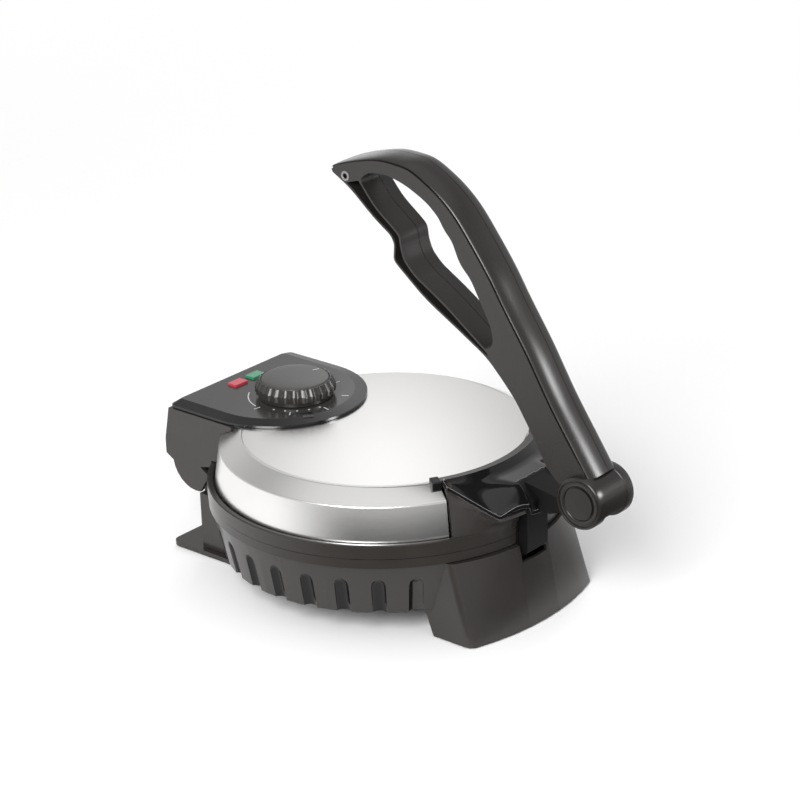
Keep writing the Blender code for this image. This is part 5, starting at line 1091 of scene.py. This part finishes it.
# Marks on the panel and the knob, as thick as print; angles in degrees from the front
KNOB_CENTRE = (0.0, 0.083)
PRINT = 0.00012
PANEL_TOP_Z = 0.1095
DOT_RING = 0.0302
DOT_RADIUS = 0.00075
DOT_ANGLES = (-78.0, -62.0, -46.0, -30.0, -14.0)
MARK_WIDTH = 0.0007
SCALE_RADIUS = 0.0335
SCALE_ANGLES = (-150.0, -104.0)
SCALE_STEPS = 14
DOT_STEPS = 14
TICK_RADII = (0.0325, 0.0375)
TICK_COUNT = 6
TICK_ANGLES = (-98.0, 120.0)
DOME_RISE = 0.0018
DOME_SHARES = (0.766, 0.500)
POINTER_RADII = (0.01543, 0.02078)
POINTER_ANGLE = 78.0


def panel_print(name, outline):
    """A printed patch on the panel's level top."""
    outline = [(x, y + PLATE_Y) for x, y in outline]
    piece(prism(outline, PANEL_TOP_Z - PRINT, PANEL_TOP_Z + PRINT), name, "lid", WHITE)


def printed_line(name, points):
    left = moved_aside(points, MARK_WIDTH / 2)
    right = moved_aside(points, -MARK_WIDTH / 2)
    panel_print(name, left + right[::-1])


def arc_points(radius, angles):
    """Points round the knob's centre."""
    across, ahead = KNOB_CENTRE
    turns = [math.radians(angle) for angle in angles]
    return [(across + radius * math.sin(turn), ahead - radius * math.cos(turn)) for turn in turns]


def panel_marks():
    """A heat scale round the knob: an arc, ticks and dots."""
    printed_line("scale_arc", arc_points(SCALE_RADIUS, steps_between(*SCALE_ANGLES, SCALE_STEPS)))
    for i, angle in enumerate(steps_between(*TICK_ANGLES, TICK_COUNT - 1)):
        line = [arc_points(radius, [angle])[0] for radius in TICK_RADII]
        printed_line(f"scale_tick_{i + 1}", line)
    for i, centre in enumerate(arc_points(DOT_RING, DOT_ANGLES)):
        panel_print(f"scale_dot_{i + 1}", circle_points(centre, DOT_RADIUS, DOT_STEPS))


def pointer_mark():
    """A line on the sloping part of the knob's domed cap, which turns with it."""
    foot = max(vert.co.z for vert in NODES["knob_cap"].data.vertices) - DOME_RISE
    turn = math.radians(POINTER_ANGLE)
    side_x, side_y = math.cos(turn) * MARK_WIDTH / 2, math.sin(turn) * MARK_WIDTH / 2
    sections = []
    for radius, share in zip(POINTER_RADII, DOME_SHARES):
        x = KNOB_CENTRE[0] + radius * math.sin(turn)
        y = KNOB_CENTRE[1] + PLATE_Y - radius * math.cos(turn)
        height = foot + DOME_RISE * share
        sections.append([
            (x - side_x, y - side_y, height - PRINT), (x + side_x, y + side_y, height - PRINT),
            (x + side_x, y + side_y, height + PRINT), (x - side_x, y - side_y, height + PRINT),
        ])
    piece(swept_strip("pointer_mark", sections), "pointer_mark", BODIES["knob_cap"], WHITE)


# Slot and block on the panel's bevelled edge, in front of the knob: centre, size, heights. The slot is a
# raised near-black prism, painted shade where a recess would be
TAB_TURN = math.radians(-36.7)
TAB_BLOCK = ((-0.0238, 0.0500), (0.0074, 0.0034), (0.1066, 0.1101))
TAB_SLOT = ((-0.0216, 0.0531), (0.0084, 0.0028), (0.1070, 0.1099))
TAB_EDGE = 0.0005


def turned_box(centre, size, heights):
    half_x, half_y = size[0] / 2, size[1] / 2
    across, along = math.cos(TAB_TURN), math.sin(TAB_TURN)
    outline = [
        (centre[0] + x * across - y * along, centre[1] + PLATE_Y + x * along + y * across)
        for x, y in ((-half_x, -half_y), (half_x, -half_y), (half_x, half_y), (-half_x, half_y))
    ]
    return prism(outline, *heights)


def panel_tab():
    # The slot's prism is painted shade.
    for name, shape, material in (("tab_block", TAB_BLOCK, KNOB), ("tab_slot_shade", TAB_SLOT, SHADE)):
        made = piece(turned_box(*shape), name, "lid", material)
        smooth(made.data)
        add_bevel(made, TAB_EDGE)


def add_floor():
    half = FLOOR_SIZE / 2
    corners = [(-half, -half, 0), (half, -half, 0), (half, half, 0), (-half, half, 0)]
    mesh = bpy.data.meshes.new("studio_floor")
    mesh.from_pydata(corners, [], [(0, 1, 2, 3)])
    made = bpy.data.objects.new("studio_floor", mesh)
    SCENE.collection.objects.link(made)
    repaint(made, floor_material())


# How far the edges of each copied CAD node are rounded
CASE_EDGE = 0.0004
STAND_EDGE = 0.0006
LID_EDGE = 0.0005
HOUSING_EDGE = 0.0008
PANEL_EDGE = 0.0005
PANEL_SEGMENTS = 3
PANEL_CREASE = 9.0
KNOB_EDGE = 0.0003
KNOB_CAP_EDGE = 0.0004

add_camera()
add_world()
add_lamps()
add_cards()
add_floor()
finish_cad_nodes()
steel_cover()
# The flutes get painted shade.
second_finish(softened("base_housing", "case_body", CASE_EDGE), FLUTE_SHADE, shaded_flute_faces)
softened("rear_stand", "stand_plate", STAND_EDGE)
# The tongue gets painted shade.
second_finish(softened("lid_ring", "lid_frame", LID_EDGE), SHADE, shaded_tongue_faces)
softened("control_housing", "housing_shell", HOUSING_EDGE)
panel = softened("control_panel", "panel_plate", PANEL_EDGE, PANEL_SEGMENTS, crease=PANEL_CREASE)
second_finish(panel, GLOSS, on_panel_rim)
handle_halves()
tip_boss()
bracket_tray()
collar_blocks()
panel_marks()
pointer_mark()
panel_tab()
softened("knob", "knob_grip", KNOB_EDGE)
softened("knob_cap", "knob_top", KNOB_CAP_EDGE, material=KNOB)
